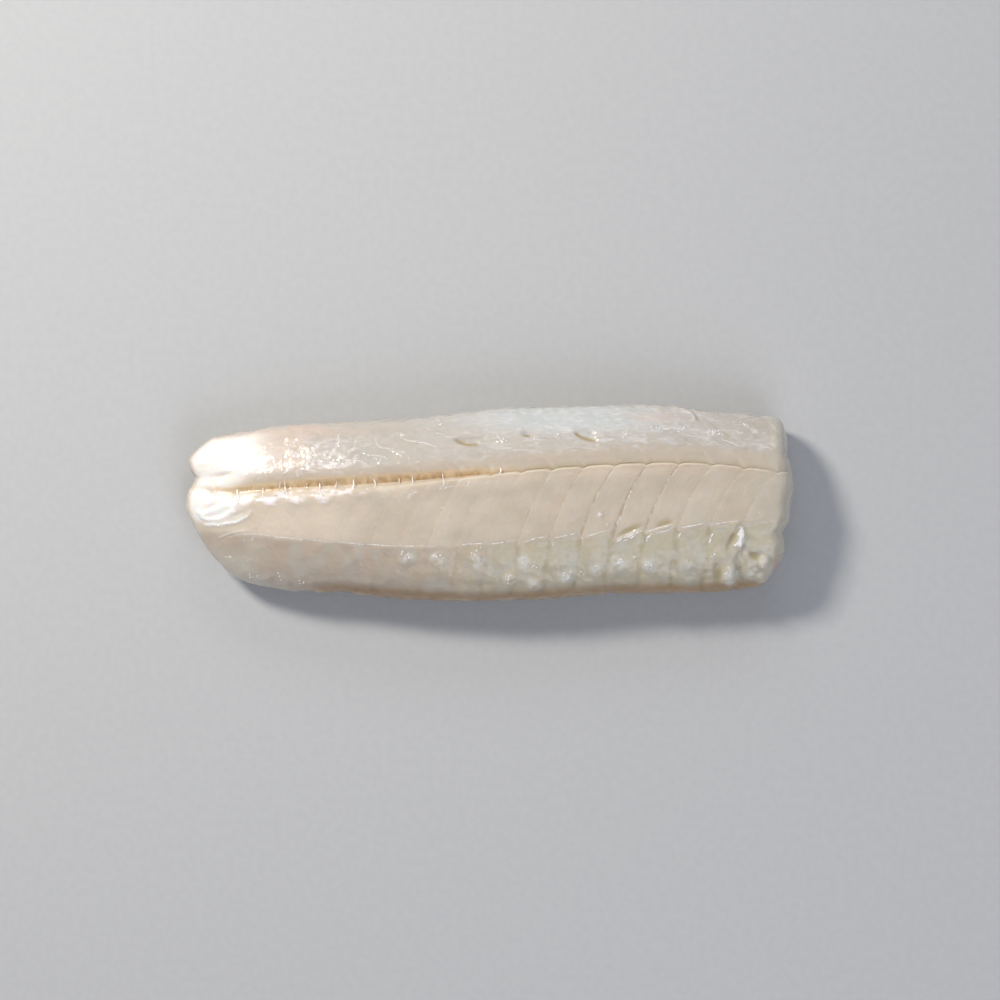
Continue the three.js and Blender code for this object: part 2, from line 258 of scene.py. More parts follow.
@dataclass(frozen=True)
class LoinForm:
    """The loin's lines and sections, as the CAD has them, and the steps in its seams."""

    tapered_end: float = -117.0
    cut_end: float = 116.6
    taper_length: float = 25.0
    cut_rounding: float = 8.0
    taper_squareness: float = 2.35
    cut_squareness: float = 2.7
    waist_share: float = 0.42
    far_shoulder: float = 2.9
    near_shoulder: float = 2.15
    shoulder_drop: float = 2.2
    under_squareness: float = 2.7
    settle: float = 1.32
    taper_reach: float = 39.0
    cut_reach: float = 30.0
    taper_rings: float = 2.6
    cut_rings: float = 3.8
    flake_start: float = -68.2
    flake_pitch: float = 10.8
    flake_growth: float = 0.141
    flake_lean: float = 13.5
    flake_sweep: float = 12.5
    chevron_reach: float = 9.0
    chevron_waves: float = 2.4
    chevron_pitch: float = 12.0
    groove_dip: float = 0.75
    dip_width: float = 0.11
    seam_place: float = -0.36
    groove_place: float = 0.34
    top_spread: float = 2 / 2.4

    far_edge: Through = Through(
        (-117, 23.4), (-98, 26.8), (-81, 30.4), (-59, 31.8), (-26, 33.7),
        (8, 36.7), (40, 38.2), (64, 38.4), (78, 36.5), (98, 35.2), (117, 31.9),
    )
    near_edge: Through = Through(
        (-117, -28.0), (-96, -30.4), (-76, -33.4), (-58, -33.8), (-36, -36.0),
        (-4, -37.4), (28, -35.8), (50, -34.2), (84, -33.9), (117, -32.0),
    )
    groove: Through = Through(
        (-117, 6.6), (-100, 5.0), (-75, 6.8), (-40, 8.6), (-8, 11.2),
        (25, 14.3), (60, 16.3), (85, 16.0), (117, 12.4),
    )
    lower_seam: Through = Through(
        (-117, -10.0), (-95, -11.0), (-70, -13.4), (-35, -15.8), (0, -14.8),
        (30, -12.2), (58, -9.4), (80, -7.8), (117, -4.6),
    )
    crown: Through = Through(
        (-117, 20.0), (-100, 23.2), (-75, 27.6), (-45, 31.2), (0, 33.4),
        (50, 33.2), (90, 30.8), (117, 28.4),
    )
    tapered_line: Through = Through(
        (-34, 4.6), (-26, 6.2), (-17, 4.6), (-8, 2.2), (-1, -0.2), (5, 0.6),
        (10.1, 1.9), (13, -0.8), (16.8, -4.4), (22, -6.2), (27, -6.6),
    )
    cut_line: Through = Through(
        (-34, -7.6), (-28, -5.6), (-22.6, -3.0), (-16.3, -1.8), (-10.7, -2.9), (-6.5, -0.8),
        (0.4, -0.4), (6.5, 0.7), (15.1, 0.1), (18.4, -0.9), (24.1, -0.1), (31.6, 0.5),
    )
    # Each block of the belly has its own top edge: its number, and how far the edge
    # lies above the seam's smooth line at the block's left and right.
    block_tops: tuple[tuple[int, float, float], ...] = (
        (5, 0.1, 0.1), (6, -0.4, 0.5), (7, -0.9, 1.2), (8, -0.2, 1.1), (9, -1.0, 1.1),
        (10, -3.3, 0.4), (11, -1.3, 1.2), (12, -0.8, 0.7), (13, -0.3, 0.5), (14, 0.0, 0.3),
    )

    def seam_step(self, count: Array) -> Array:
        """Returns how far the belly's top edge lies above the seam's smooth line."""
        at = [number + end for number, _, _ in self.block_tops for end in (0.0, 0.97)]
        step = [end for _, left, right in self.block_tops for end in (left, right)]
        return np.interp(count, at, step, left=0, right=0)

    def groove_step(self, count: Array, x: Array) -> Array:
        """Returns how far the groove dips between two flakes of the middle band."""
        edge = np.abs(count - np.round(count))
        return -self.groove_dip * bell(edge / self.dip_width) * ramp(x, -30, 25)

    def across_at(self, place: Array, x: Array, count: Array) -> Array:
        """Returns y of a place from -1 to 1 across the piece, at x."""
        seam = self.lower_seam(x) + self.seam_step(count)
        groove = self.groove(x) + self.groove_step(count, x)
        marks = (-1.0, self.seam_place, self.groove_place, 1.0)
        lines = (self.near_edge(x), seam, groove, self.far_edge(x))
        y = lines[0]
        for low, high, start, end in zip(marks[:-1], marks[1:], lines[:-1], lines[1:]):
            y = y + (end - start) * np.clip((place - low) / (high - low), 0, 1)
        return y

    def lean(self, place: Array, on_top: Array | bool = True) -> Array:
        """Returns how far a flake's edge has moved along X at a place across the piece."""
        band = self.groove_place - self.seam_place
        share = np.clip((place - self.seam_place) / band, 0, 1)
        middle = self.flake_lean * (0.72 * share + 0.28 * share**3)
        back = np.clip((place - self.groove_place) / (1 - self.groove_place), 0, 1)
        top = middle - self.flake_sweep * (1 - np.cos(np.pi * back))
        under = (self.flake_lean - 2 * self.flake_sweep) * (place + 1) / 2
        return np.where(on_top, top, under)

    def chevrons(self, place: Array) -> Array:
        """Returns the zigzag of a flake's edge on the skinned side, along X."""
        wave = np.cos(self.chevron_waves * np.pi * place)
        return self.chevron_reach * (1 - np.abs(place)) * wave

    def flake_count(self, x: Array) -> Array:
        """Counts flakes along the lower seam: a whole number at each flake's edge."""
        run = self.flake_pitch**2 + 2 * self.flake_growth * (x - self.flake_start)
        return (np.sqrt(np.maximum(run, 1)) - self.flake_pitch) / self.flake_growth

    def flake_edge(self, number: float) -> float:
        """Returns x of a flake's edge at the lower seam."""
        run = (number * self.flake_growth + self.flake_pitch) ** 2 - self.flake_pitch**2
        return self.flake_start + run / (2 * self.flake_growth)

    def edge_route(self, number: int, places: Array) -> Route:
        """Returns the points of a flake's edge at places across the piece."""
        x = self.flake_edge(number) + self.lean(places)
        y = self.across_at(places, x, np.full(len(places), number + 0.02))
        return tuple(zip(x.tolist(), y.tolist()))

    def seam_route(self, x: Array) -> Route:
        """Returns the points of the lower seam at places along the piece."""
        place = np.full(len(x), self.seam_place)
        y = self.across_at(place, x, self.flake_count(x))
        return tuple(zip(x.tolist(), y.tolist()))

    def ring_size(self, along: Array) -> Array:
        """Returns the size of the ring at each place from 0 to 1 along the piece."""
        span = self.cut_end - self.tapered_end
        taper = np.clip(along * span / self.taper_length, 0, 1)
        cut = np.clip((1 - along) * span / self.cut_rounding, 0, 1)
        taper_size = (1 - (1 - taper) ** self.taper_squareness) ** (1 / self.taper_squareness)
        cut_size = (1 - (1 - cut) ** self.cut_squareness) ** (1 / self.cut_squareness)
        return np.minimum(taper_size, cut_size)

    def place_of(self, turn: Array) -> Array:
        """Returns the place across the piece of each turn from 0 to 1 round a ring."""
        spread = np.where(turn < 0.5, self.top_spread, 2 / self.under_squareness)
        return power(np.cos(2 * np.pi * turn), spread)

    def height_at(self, share: Array, height: Array, on_top: Array) -> Array:
        """Returns the smooth body's height at a share from -1 to 1 of its half width."""
        waist = self.waist_share * height
        shoulder = np.where(share > 0, self.far_shoulder, self.near_shoulder)
        rise = (1 - np.abs(share) ** shoulder) ** (1 / self.shoulder_drop)
        fall = (1 - np.abs(share) ** self.under_squareness) ** (1 / self.under_squareness)
        under = np.maximum(waist * (1 - self.settle * fall), 0)
        return np.where(on_top, waist + (height - waist) * rise, under)

    def smooth_points(self, along: Array, turn: Array) -> Array:
        """Returns points of the smooth body, one row each.

        Args:
            along: Places from 0 to 1, from the tapered end to the cut end.
            turn: Turns from 0 to 1 round the ring, from the far edge over the top.

        Returns:
            The points, in millimetres.
        """
        ring_x = self.tapered_end + along * (self.cut_end - self.tapered_end)
        size = self.ring_size(along)
        place = self.place_of(turn)
        on_top = turn < 0.5
        from_ends = np.minimum(ring_x - self.tapered_end, self.cut_end - ring_x)
        x = ring_x + self.lean(place, on_top) * ramp(from_ends, 8, 33)
        middle = (self.far_edge(x) + self.near_edge(x)) / 2
        half_width = (self.far_edge(x) - self.near_edge(x)) / 2
        across = self.across_at(place, x, self.flake_count(ring_x))
        share = np.clip((across - middle) / half_width, -1, 1)
        height = self.crown(x)
        waist = self.waist_share * height
        # Towards the ends the rings shrink round this line.
        heart = middle / 2 + self.groove(x) / 10 + 1
        y = heart + (across - heart) * size
        z = waist + (self.height_at(share, height, on_top) - waist) * size
        at_taper = 1 - ramp(x, self.tapered_end, self.tapered_end + self.taper_reach)
        at_cut = ramp(x, self.cut_end - self.cut_reach, self.cut_end)
        shifted = x + at_taper * self.tapered_line(y) + at_cut * self.cut_line(y)
        return np.column_stack((shifted, y, z))

    def places(self, points: Array, along: Array, turn: Array, normals: Array) -> Places:
        """Describes each point of the smooth body for the relief.

        Args:
            points: The smooth body's points.
            along: Their places from 0 to 1 along the piece.
            turn: Their turns from 0 to 1 round the ring.
            normals: The smooth body's normals there.

        Returns:
            The points' distances from the lines that the relief follows.
        """
        place = self.place_of(turn)
        on_top = turn < 0.5
        x, y, z = points.T
        size = self.ring_size(along)
        # Flakes are nested cones, so an end shows them as rings round its middle.
        rings = np.where(x > 0, self.cut_rings, self.taper_rings) * (1 - size)
        rings *= ramp(np.abs(x), 90, 112)
        rings *= 1 + 0.32 * drift(points, 11.0, 61.0)
        count = self.flake_count(x - self.lean(place, on_top)) + rings
        groove = y - self.groove(x) - self.groove_step(count, x)
        seam = y - self.lower_seam(x) - self.seam_step(count)
        # In the belly the edges lean back a little and wander.
        below = np.where(on_top, np.maximum(-seam, 0), 0)
        wander = drift(points, 9.0, 57.0) * ramp(below, 0, 5)
        count = count + below * 0.009 + 0.07 * wander
        count = count + 0.11 * drift(points, 12.0, 67.0) * ramp(groove, 3, 12)
        uneven_edges = 0.32 * (1 - np.abs(place)) * drift(points, 14.0, 47.0)
        count = count + np.where(on_top, 0, self.chevrons(place) / self.chevron_pitch + uneven_edges)
        off_ends = ramp(np.hypot(normals[:, 1], normals[:, 2]), 0.3, 0.8) * ramp(size, 0, 0.4)
        upper = ramp(normals[:, 2], -0.55, 0.05) * ramp(z, 2, 8) * off_ends
        return Places(x, y, z, count, groove, seam, upper)


@dataclass(frozen=True)
class FleshRelief:
    """Everything that stands out of, or is sunk into, the smooth body, in millimetres."""

    form: LoinForm = LoinForm()
    middle: Flake = Flake(lip=0.028, swell=0.04, valley=0.06, width=0.022)
    back: Flake = Flake(lip=0.03, swell=0.06, valley=0.05, width=0.05)
    belly: Flake = Flake(lip=0.04, swell=0.2, valley=0.07, width=0.13)
    # How plainly each flake's edge shows in the middle band, from the first on.
    edges: tuple[float, ...] = (
        0.3, 0.4, 0.5, 0.3, 0.5, 0.3, 0.3, 0.5, 0.7, 1.1, 1.5, 1.1, 0.6, 0.5, 0.6, 0.4, 0.4,
    )
    groove_depth: Through = Through(
        (-117, 0.4), (-106, 1.1), (-92, 1.7), (-62, 2.5), (-30, 2.5), (-5, 2.0),
        (12, 1.2), (60, 0.8), (95, 0.65), (117, 0.4),
    )
    groove_wall: Through = Through(
        (-117, 1.2), (-105, 1.8), (-90, 2.4), (-60, 2.9), (-10, 2.7), (20, 2.1), (117, 1.7)
    )
    groove_foot: Through = Through(
        (-117, 2.2), (-90, 2.4), (-60, 1.8), (-30, 1.1), (-10, 0.7), (20, 0.5), (117, 0.5)
    )
    spots: tuple[Spot, ...] = (
        # Dents of the back, above their clefts.
        Spot((-8.2, 24.6), (5.0, 1.7), -0.7, 4),
        Spot((14.5, 27.0), (2.4, 1.5), -0.5),
        Spot((37.2, 27.2), (4.8, 2.0), -0.9, -20),
        # The dimple above the lower seam, and the swelling beside it.
        Spot((44.7, -4.7), (1.8, 1.5), -0.35),
        Spot((42.0, -4.1), (1.1, 1.0), 0.45),
        # Knobs and hollows near the cut end.
        Spot((105.3, -22.2), (2.2, 2.5), 1.2),
        Spot((92.3, -27.6), (2.8, 4.4), 1.5),
        Spot((101.7, -20.0), (2.6, 1.4), -0.6, -24),
        Spot((87.4, -27.0), (1.8, 4.0), -0.75),
        Spot((93.0, -12.6), (1.1, 4.2), -0.8, -26),
        Spot((96.0, -14.0), (1.7, 4.0), 0.7, -16),
        Spot((100.4, -27.4), (1.8, 2.0), 0.45),
        Spot((103.6, -28.6), (2.0, 1.6), 0.5),
        Spot((98.8, -24.4), (1.4, 1.8), 0.3),
        # Lumps along the belly.
        Spot((8.0, -28.2), (2.8, 2.6), 0.75),
        Spot((16.9, -30.2), (3.0, 2.0), 0.6, -20),
        Spot((29.6, -27.6), (3.6, 2.6), 0.7, 12),
        Spot((41.2, -24.6), (3.4, 2.6), 0.48),
        Spot((48.9, -22.4), (4.0, 3.4), 0.62),
        Spot((61.6, -23.0), (3.8, 3.0), 0.56),
        Spot((75.2, -23.2), (3.2, 3.2), 0.42),
        Spot((-4.9, -21.4), (3.0, 3.4), 0.42),
        Spot((13.0, -21.6), (3.0, 3.4), 0.42),
        Spot((-19.6, -20.4), (3.2, 2.8), 0.42),
        Spot((-31.6, -20.2), (3.2, 2.8), 0.42),
        # Soft swellings just below the groove at the thin end.
        Spot((-103.1, 1.7), (3.2, 1.7), 0.6, -12),
        Spot((-92.6, 2.0), (2.8, 1.9), 0.5, 30),
        Spot((-83.3, 1.3), (3.0, 1.8), 0.42),
        Spot((-73.4, 1.7), (3.2, 1.7), 0.41),
        Spot((-63.2, 1.9), (3.0, 1.6), 0.41),
        # Hollows at the thin end.
        Spot((-102.4, 11.4), (4.6, 1.1), -0.5, 10),
        Spot((-107.6, 4.6), (1.8, 1.4), -0.7, -20),
        Spot((-106.8, -0.6), (3.6, 0.8), -0.5, 24),
        Spot((-96.5, -3.6), (3.8, 0.9), -0.46, 20),
        Spot((-97.6, 4.2), (1.4, 0.9), -0.46),
    )
    folds: tuple[Crease, ...] = (
        Crease(
            ((-113.5, -2.3), (-109.5, -3.8), (-104.7, -2.2), (-101.2, -0.7), (-96.0, -0.2)),
            0.8, 0.8,
        ),
        Crease(
            ((-112.0, -4.2), (-107.9, -5.6), (-103.1, -5.6), (-99.9, -3.8), (-96.8, -1.2)),
            0.8, 0.9,
        ),
        Crease(
            ((-110.5, -7.6), (-103.7, -7.9), (-96.7, -6.7), (-92.5, -4.6), (-90.4, -1.5)),
            0.5, 0.5,
        ),
        Crease(((-105.5, -13.3), (-99.9, -11.4), (-95.4, -10.2), (-91.0, -10.0)), 0.6, 0.2),
        # Furrows round the knobs at the cut end.
        Crease(((97.9, -14.5), (97.4, -20.0), (96.6, -26.0), (96.0, -31.5)), 1.4, -0.5),
        Crease(((97.8, -16.4), (100.4, -19.6), (103.0, -19.4), (105.4, -18.2)), 0.9, -0.35),
        # The raised flap of the back's far edge.
        Crease(((69.5, 38.0), (73.8, 36.4), (77.9, 34.3), (79.0, 31.0)), 0.8, 0.8),
        Crease(((71.5, 38.5), (75.2, 37.0), (79.4, 34.3), (80.4, 31.0)), 0.7, -0.5),
    )
    # Clefts at the foot of the back's dents.
    clefts: tuple[Crease, ...] = (
        Crease(((-13.6, 25.3), (-10.6, 23.6), (-7.4, 22.8), (-3.6, 23.2)), 0.8, -0.45),
        Crease(((12.9, 26.9), (14.3, 26.2), (16.2, 26.0)), 0.7, -0.4),
        Crease(((32.0, 27.8), (35.0, 25.8), (37.7, 24.7), (41.3, 24.3)), 0.9, -0.6),
    )
    groove_share: float = 1.1
    # How much of the groove's tan shows along it: partly its own colour, partly painted shade on its
    # upper wall.
    tan_and_shade_share: Through = Through(
        (-114, 0.1), (-106, 0.45), (-88, 0.8), (-70, 1.0), (-10, 0.95), (5, 0.55),
        (20, 0.3), (110, 0.25), (117, 0.15),
    )
    # Slits that have opened just above the lower seam: middle, half length and depth.
    slits: tuple[tuple[float, float, float], ...] = ((53.6, 7.6, 0.7), (66.3, 5.2, 0.55))
    slit_above: float = 1.3
    slit_width: float = 1.1

    def edge_strength(self, count: Array) -> Array:
        """Returns how plainly the nearest flake's edge shows."""
        number = np.clip(np.round(count), 0, len(self.edges) - 1).astype(int)
        return np.array(self.edges)[number]

    def height(self, p: Places) -> Array:
        """Returns the relief's height along the normal at each vertex."""
        x, y, groove, seam = p.x, p.y, p.from_groove, p.from_seam
        cutwards = ramp(x, -40, 45)
        grain = np.column_stack((x, y, p.z))

        # The swell of the back beside the groove, and of the middle band below it.
        rise = (0.35 + 0.45 * ramp(x, -75, -20)) * bell((groove - 5.5) / 3.6)
        rise += 0.45 * bell((groove + 4.5) / 3.2)
        # The flakes, and the lip of the middle band.
        in_middle = ramp(seam, -0.3, 0.8) * ramp(-groove, 0.1, 1.1)
        plain = 0.4 + 0.6 * ramp(x, -50, 10)
        rise += in_middle * plain * self.middle.height(p.count, self.edge_strength(p.count))
        rise += 0.25 * cutwards * bell((groove + 1.0) / 0.6)
        rise += ramp(groove, 5, 11) * ramp(x, -75, -30) * self.back.height(p.count + 0.35)

        # The belly's blocks with the lip along their tops, then the flesh's unevenness.
        belly = ramp(-seam, -0.5, 1.0)
        blocks = (0.2 + 0.8 * cutwards) * ramp(-x, -101, -93) * (1 + 0.7 * drift(grain, 8, 71))
        rise += belly * (blocks * self.belly.height(p.count) - 0.05 - 0.1 * cutwards)
        rise += 0.14 * cutwards * bell((seam + 0.8) / 0.6)
        rise += belly * 0.35 * drift(grain, 4.5, 11.0)
        rise += ramp(groove, 4, 12) * 0.3 * drift(grain, 7.0, 23.0)
        rise += 0.4 * drift(grain, 23.0, 31.0) + 0.03 * drift(grain, 2.6, 41.0)
        rise += 0.24 * (ramp(groove, 14, 20) + ramp(-seam, 12, 18)) * drift(grain, 2.8, 83.0)
        rise *= 0.45 + 0.55 * ramp(x, self.form.tapered_end + 5, self.form.tapered_end + 25)

        # What is sunk in or stands out by itself.
        wall = np.where(groove > 0, self.groove_wall(x), self.groove_foot(x))
        ribs = 1 + 0.05 * drift(grain * (1, 0.15, 0.15), 0.9, 5.0) * bell((x + 60) / 16)
        rise -= self.groove_share * self.groove_depth(x) * bell(groove / wall) * ribs
        for middle, half, depth in self.slits:
            gap = bell((seam - self.slit_above) / self.slit_width)
            rise -= depth * gap * hump((x - middle) / half)
        for shape in self.spots + self.folds + self.clefts:
            rise += shape.rise * shape.weight(x, y)
        return rise * p.upper

    def overhang(self, p: Places) -> Array:
        """Returns how far the lip of the back leans over the groove, along -Y."""
        reach = 0.5 + 0.5 * ramp(p.x, -20, 40)
        return reach * ramp(p.x, -100, -70) * bell((p.from_groove - 1.0) / 0.9) * p.upper


# ------------------------------------------------------------------ Meshes
def sphere_grid(shell: bmesh.types.BMesh, around: int, rings: int) -> tuple[list, Array, Array]:
    """Adds a sphere, closed up from a grid, and says where each of its vertices is on it.

    Args:
        shell: The mesh to add to.
        around: How many vertices each ring has.
        rings: How many steps there are from pole to pole.

    Returns:
        The vertices, the number of each one's ring, and of its place on the ring.
    """
    made = bmesh.ops.create_grid(shell, x_segments=around, y_segments=rings, size=1)
    place = np.array([vertex.co for vertex in made["verts"]])
    turn = np.round((place[:, 0] + 1) / 2 * around).astype(int)
    ring = np.round((place[:, 1] + 1) / 2 * rings).astype(int)
    at = dict(zip(zip(ring.tolist(), turn.tolist()), made["verts"]))
    welds = {at[r, around]: at[r, 0] for r in range(1, rings)}
    welds |= {at[r, t]: at[r, 0] for r in (0, rings) for t in range(1, around + 1)}
    bmesh.ops.weld_verts(shell, targetmap=welds)
    shell.verts.index_update()
    kept = [item for item in zip(made["verts"], ring, turn) if item[0].is_valid]
    kept.sort(key=lambda item: item[0].index)
    vertices, ring, turn = zip(*kept)
    return list(vertices), np.array(ring), np.array(turn)


def add_object(name: str, data: bpy.types.ID) -> bpy.types.Object:
    """Makes an object from its data and puts it in the scene."""
    made = bpy.data.objects.new(name, data)
    bpy.context.scene.collection.objects.link(made)
    return made


def new_piece(
    name: str, shell: bmesh.types.BMesh, material: bpy.types.Material
) -> bpy.types.Object:
    """Makes a finished shell a piece of the loin, which rides on its body.

    Args:
        name: The piece's name.
        shell: The closed shell, in metres. It is freed.
        material: The piece's finish.

    Returns:
        The piece's object.
    """
    bmesh.ops.recalc_face_normals(shell, faces=shell.faces)
    mesh = bpy.data.meshes.new(name)
    shell.to_mesh(mesh)
    shell.free()
    mesh.materials.append(material)
    mesh.polygons.foreach_set("use_smooth", np.ones(len(mesh.polygons), bool))
    piece = add_object(name, mesh)
    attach(piece, BODY)
    log.info("%s: %d faces", name, len(mesh.polygons))
    return piece


@dataclass
class LoinFlesh:
    """The flesh itself: a sphere's mesh, pole to pole along X, put on the loin's form."""

    rings: int = 440
    meridians: int = 223
    form: LoinForm = field(default_factory=LoinForm)
    relief: FleshRelief = field(default_factory=FleshRelief)
    shift: Array = field(init=False)

    def ring_places(self) -> Array:
        """Returns the rings' places, closer at flake edges and at the ends."""

        def density(along: Array) -> Array:
            """Returns how close the rings are at each place along the piece."""
            x = self.form.tapered_end + along * (self.form.cut_end - self.form.tapered_end)
            count = self.form.flake_count(x)
            edge = np.abs(count - np.round(count))
            from_taper = x - self.form.tapered_end
            from_cut = x - self.form.cut_end
            at_taper = 4 * bell(from_taper / 3) + 0.8 * bell(from_taper / 16)
            at_cut = 8 * bell(from_cut / 1.2) + 2.4 * bell(from_cut / 6)
            return 1 + 0.9 * bell(edge / 0.07) + at_taper + at_cut

        return stations(self.rings, density)

    def turn_places(self) -> Array:
        """Returns the meridians' places, closer at the groove and the lower seam."""

        def density(turn: Array) -> Array:
            """Returns how close the meridians are at each turn round a ring."""
            place = self.form.place_of(turn)
            to_groove = bell((place - self.form.groove_place) / 0.05)
            to_seam = bell((place - self.form.seam_place) / 0.04)
            return np.where(turn < 0.5, 1 + 1.8 * to_groove + 1.3 * to_seam, 0.4)

        return stations(self.meridians, density)

    def normals(self, along: Array, turn: Array) -> Array:
        """Returns the smooth body's outward normal at each vertex."""
        reach = 1e-3
        inner = np.clip(along, reach, 1 - reach)
        ahead = self.form.smooth_points(inner + reach, turn)
        behind = self.form.smooth_points(inner - reach, turn)
        onward = self.form.smooth_points(inner, (turn + reach) % 1)
        back = self.form.smooth_points(inner, (turn - reach) % 1)
        normals = np.cross(onward - back, ahead - behind)
        return normals / np.maximum(np.linalg.norm(normals, axis=1, keepdims=True), 1e-9)

    def build(self, material: bpy.types.Material) -> bpy.types.Object:
        """Makes the flesh in place of the CAD solid.

        Args:
            material: The flesh's finish.

        Returns:
            The finished piece.
        """
        shell = bmesh.new()
        vertices, ring, turn_number = sphere_grid(shell, self.meridians, self.rings)
        along = self.ring_places()[ring]
        turn = self.turn_places()[turn_number]
        smooth = self.form.smooth_points(along, turn)
        normals = self.normals(along, turn)
        places = self.form.places(smooth, along, turn, normals)
        points = smooth + normals * self.relief.height(places)[:, None]
        points[:, 1] -= self.relief.overhang(places)
        self.shift = self.to_frame(points)
        for vertex, point in zip(vertices, (points + self.shift) * MM):
            vertex.co = point
        piece = new_piece("loin_flesh", shell, material)
        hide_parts(NODE)
        for name, values in self.marks(places, normals).items():
            mark = piece.data.attributes.new(name, "FLOAT", "POINT")
            mark.data.foreach_set("value", values.astype(np.float32))
        return piece

    def to_frame(self, points: Array) -> Array:
        """Returns the move to the CAD solid's middle and to the level it rests on."""
        low, high = (np.array(corner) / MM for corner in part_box(NODE))
        shift = (low + high) / 2 - (points.min(0) + points.max(0)) / 2
        shift[2] = low[2] - points[:, 2].min()
        return shift

    def marks(self, p: Places, normals: Array) -> dict[str, Array]:
        """Returns what the finish reads at each vertex: bands, lines, films and tints."""
        x, y, groove, seam = p.x, p.y, p.from_groove, p.from_seam
        relief = self.relief
        top = ramp(normals[:, 2], -0.2, 0.3)
        tan_shade_foot = 0.9 + 1.4 * ramp(-x, 45, 95)
        tan_shade_width = np.where(groove > 0.8, relief.groove_wall(x) * 0.8, tan_shade_foot)
        lumps = sum(spot.weight(x, y) for spot in relief.spots if spot.rise > 0.4)
        hollows = sum(spot.weight(x, y) for spot in relief.spots if spot.rise < -0.45)
        folds = sum(fold.weight(x, y) for fold in relief.folds if fold.rise > 0.3)
        clefts = sum(cleft.weight(x, y) for cleft in relief.clefts)
        slits = sum(
            1.2 * bell((seam - 1.9) / 1.5) * hump((x - middle) / half)
            for middle, half, _ in relief.slits
        )
        thin_end = ramp(-x, 86, 104)
        near_side_shade = ramp(relief.form.near_edge(x) - y, -6.5, -0.5)
        cloudy = 1 + 0.18 * drift(np.column_stack((x, y, p.z)), 9.0, 91.0) * ramp(x, -108, -96)
        blush = np.maximum.reduce(
            (
                bell((x + 78) / 26) * bell((y - 30) / 7),
                0.9 * bell((x - 65) / 13) * bell((y - 35) / 5),
                0.35 * bell((x - 62) / 40) * bell((groove + 3) / 3),
                0.5 * bell((x + 60) / 20) * bell((y - 12) / 4),
            )
        )
        # Partly the paler flesh, folds and lumps of the tapered end, partly a painted highlight where the
        # light on that end is brightest.
        pallor_and_glare = (
            1.1 * ramp(-x, 80, 108) * ramp(y, -12, -3) * ramp(-y, -14, -7)
            + 1.02 * ramp(-x, 56, 108) * ramp(y, 7, 14) * cloudy
            + folds * thin_end
            + 0.8 * lumps * ramp(-x, 50, 75)
            - 0.35 * np.clip(hollows, 0, 1) * thin_end
        )
        return {
            "flake_count": p.count,
            "edge_strength": relief.edge_strength(p.count),
            "cutwards": ramp(x, -70, 40),
            "in_back": ramp(groove, 2.0, 9.0) * top,
            "in_middle": ramp(seam, -0.3, 0.6) * ramp(-groove, -0.1, 0.8) * top,
            "in_belly": ramp(-seam, -0.6, 2.4) * top,
            "under": 1 - ramp(normals[:, 2], -0.75, -0.1),
            "dark_line": bell((y - 3) / 5) * ramp(-normals[:, 2], 0.5, 0.9),
            # Partly the groove's own tan, partly painted shade on its upper wall, which faces away from
            # the light.
            "groove_tan_and_shade": bell((groove - 0.8) / tan_shade_width) * relief.tan_and_shade_share(x) * p.upper,
            "groove_film": bell((groove + 2.6) / 1.7) * ramp(-x, 25, 60) * p.upper,
            # Painted shade: olive in the clefts, the slits and the hollows near the cut end.
            "hollow": np.clip(clefts + slits + hollows * ramp(x, 80, 90), 0, 1) * p.upper,
            "lump": np.clip(lumps, 0, 1) * p.upper,
            "blush": blush * p.upper * ramp(normals[:, 2], 0.0, 0.6),
            "pearl": bell((x - 28) / 48) * ramp(y, 22, 33) * ramp(normals[:, 2], -0.1, 0.5),
            # Painted highlight: the whitening is kept to faces turned up towards the light.
            "pallor_and_glare": np.clip(pallor_and_glare, 0, 1) * p.upper * ramp(normals[:, 2], 0.0, 0.75),
            "film": bell((x + 62) / 18) * bell((y - 19) / 9) * p.upper,
            "blood": bell((x - 112) / 4) * bell((y + 23) / 4) * bell((p.z - 20) / 6),
            # Painted shade: the near edge's side, turned away from the key light, is tinted brown.
            "rim": near_side_shade * ramp(normals[:, 2], -0.4, 0.1) * ramp(x, -88, -50),
            "cut_face": ramp(x, 104, 110) * ramp(normals[:, 0], 0.45, 0.85),
            "sheer": np.clip(ramp(x, 94, 117) + ramp(-y, 12, 24) * ramp(-x, 76, 96), 0, 1),
            "side": (1 - ramp(normals[:, 2], 0.15, 0.6)) * ramp(normals[:, 2], -0.8, -0.3),
        }


@dataclass(frozen=True)
class Strand:
    """A thread or strip of connective tissue, or a white ridge that partly paints a glint: its route,
    half width and thickness.

    It is as solid as its veil says along its middle, and sheer at its edges. A taut strand
    is stretched straight between its ends. Any other lies on the flesh.
    """

    route: Route
    half_width: float
    thickness: float
    beaded: float
    veil: float = 0.8
    taut: bool = False


@dataclass(frozen=True)
class Ripples:
    """A patch of short wet ridges, white so that they show as glints, which is partly a painted
    highlight: place, half sizes and count.
    """

    at: Plan
    half: Plan
    count: int

    def routes(self, chance: np.random.Generator) -> list[Route]:
        """Returns the ridges' routes, each a short bent line that leans to the right."""
        found = []
        for _ in range(self.count):
            place = np.array(self.at) + chance.normal(0, 0.5, 2) * self.half
            turn = math.radians(chance.normal(58, 13))
            reach = chance.uniform(0.25, 0.85) * np.array((math.cos(turn), math.sin(turn)))
            bend = chance.uniform(-0.2, 0.2) * reach[::-1]
            ridge = (place - reach, place + bend, place + reach)
            found.append(tuple(tuple(point.tolist()) for point in ridge))
        return found


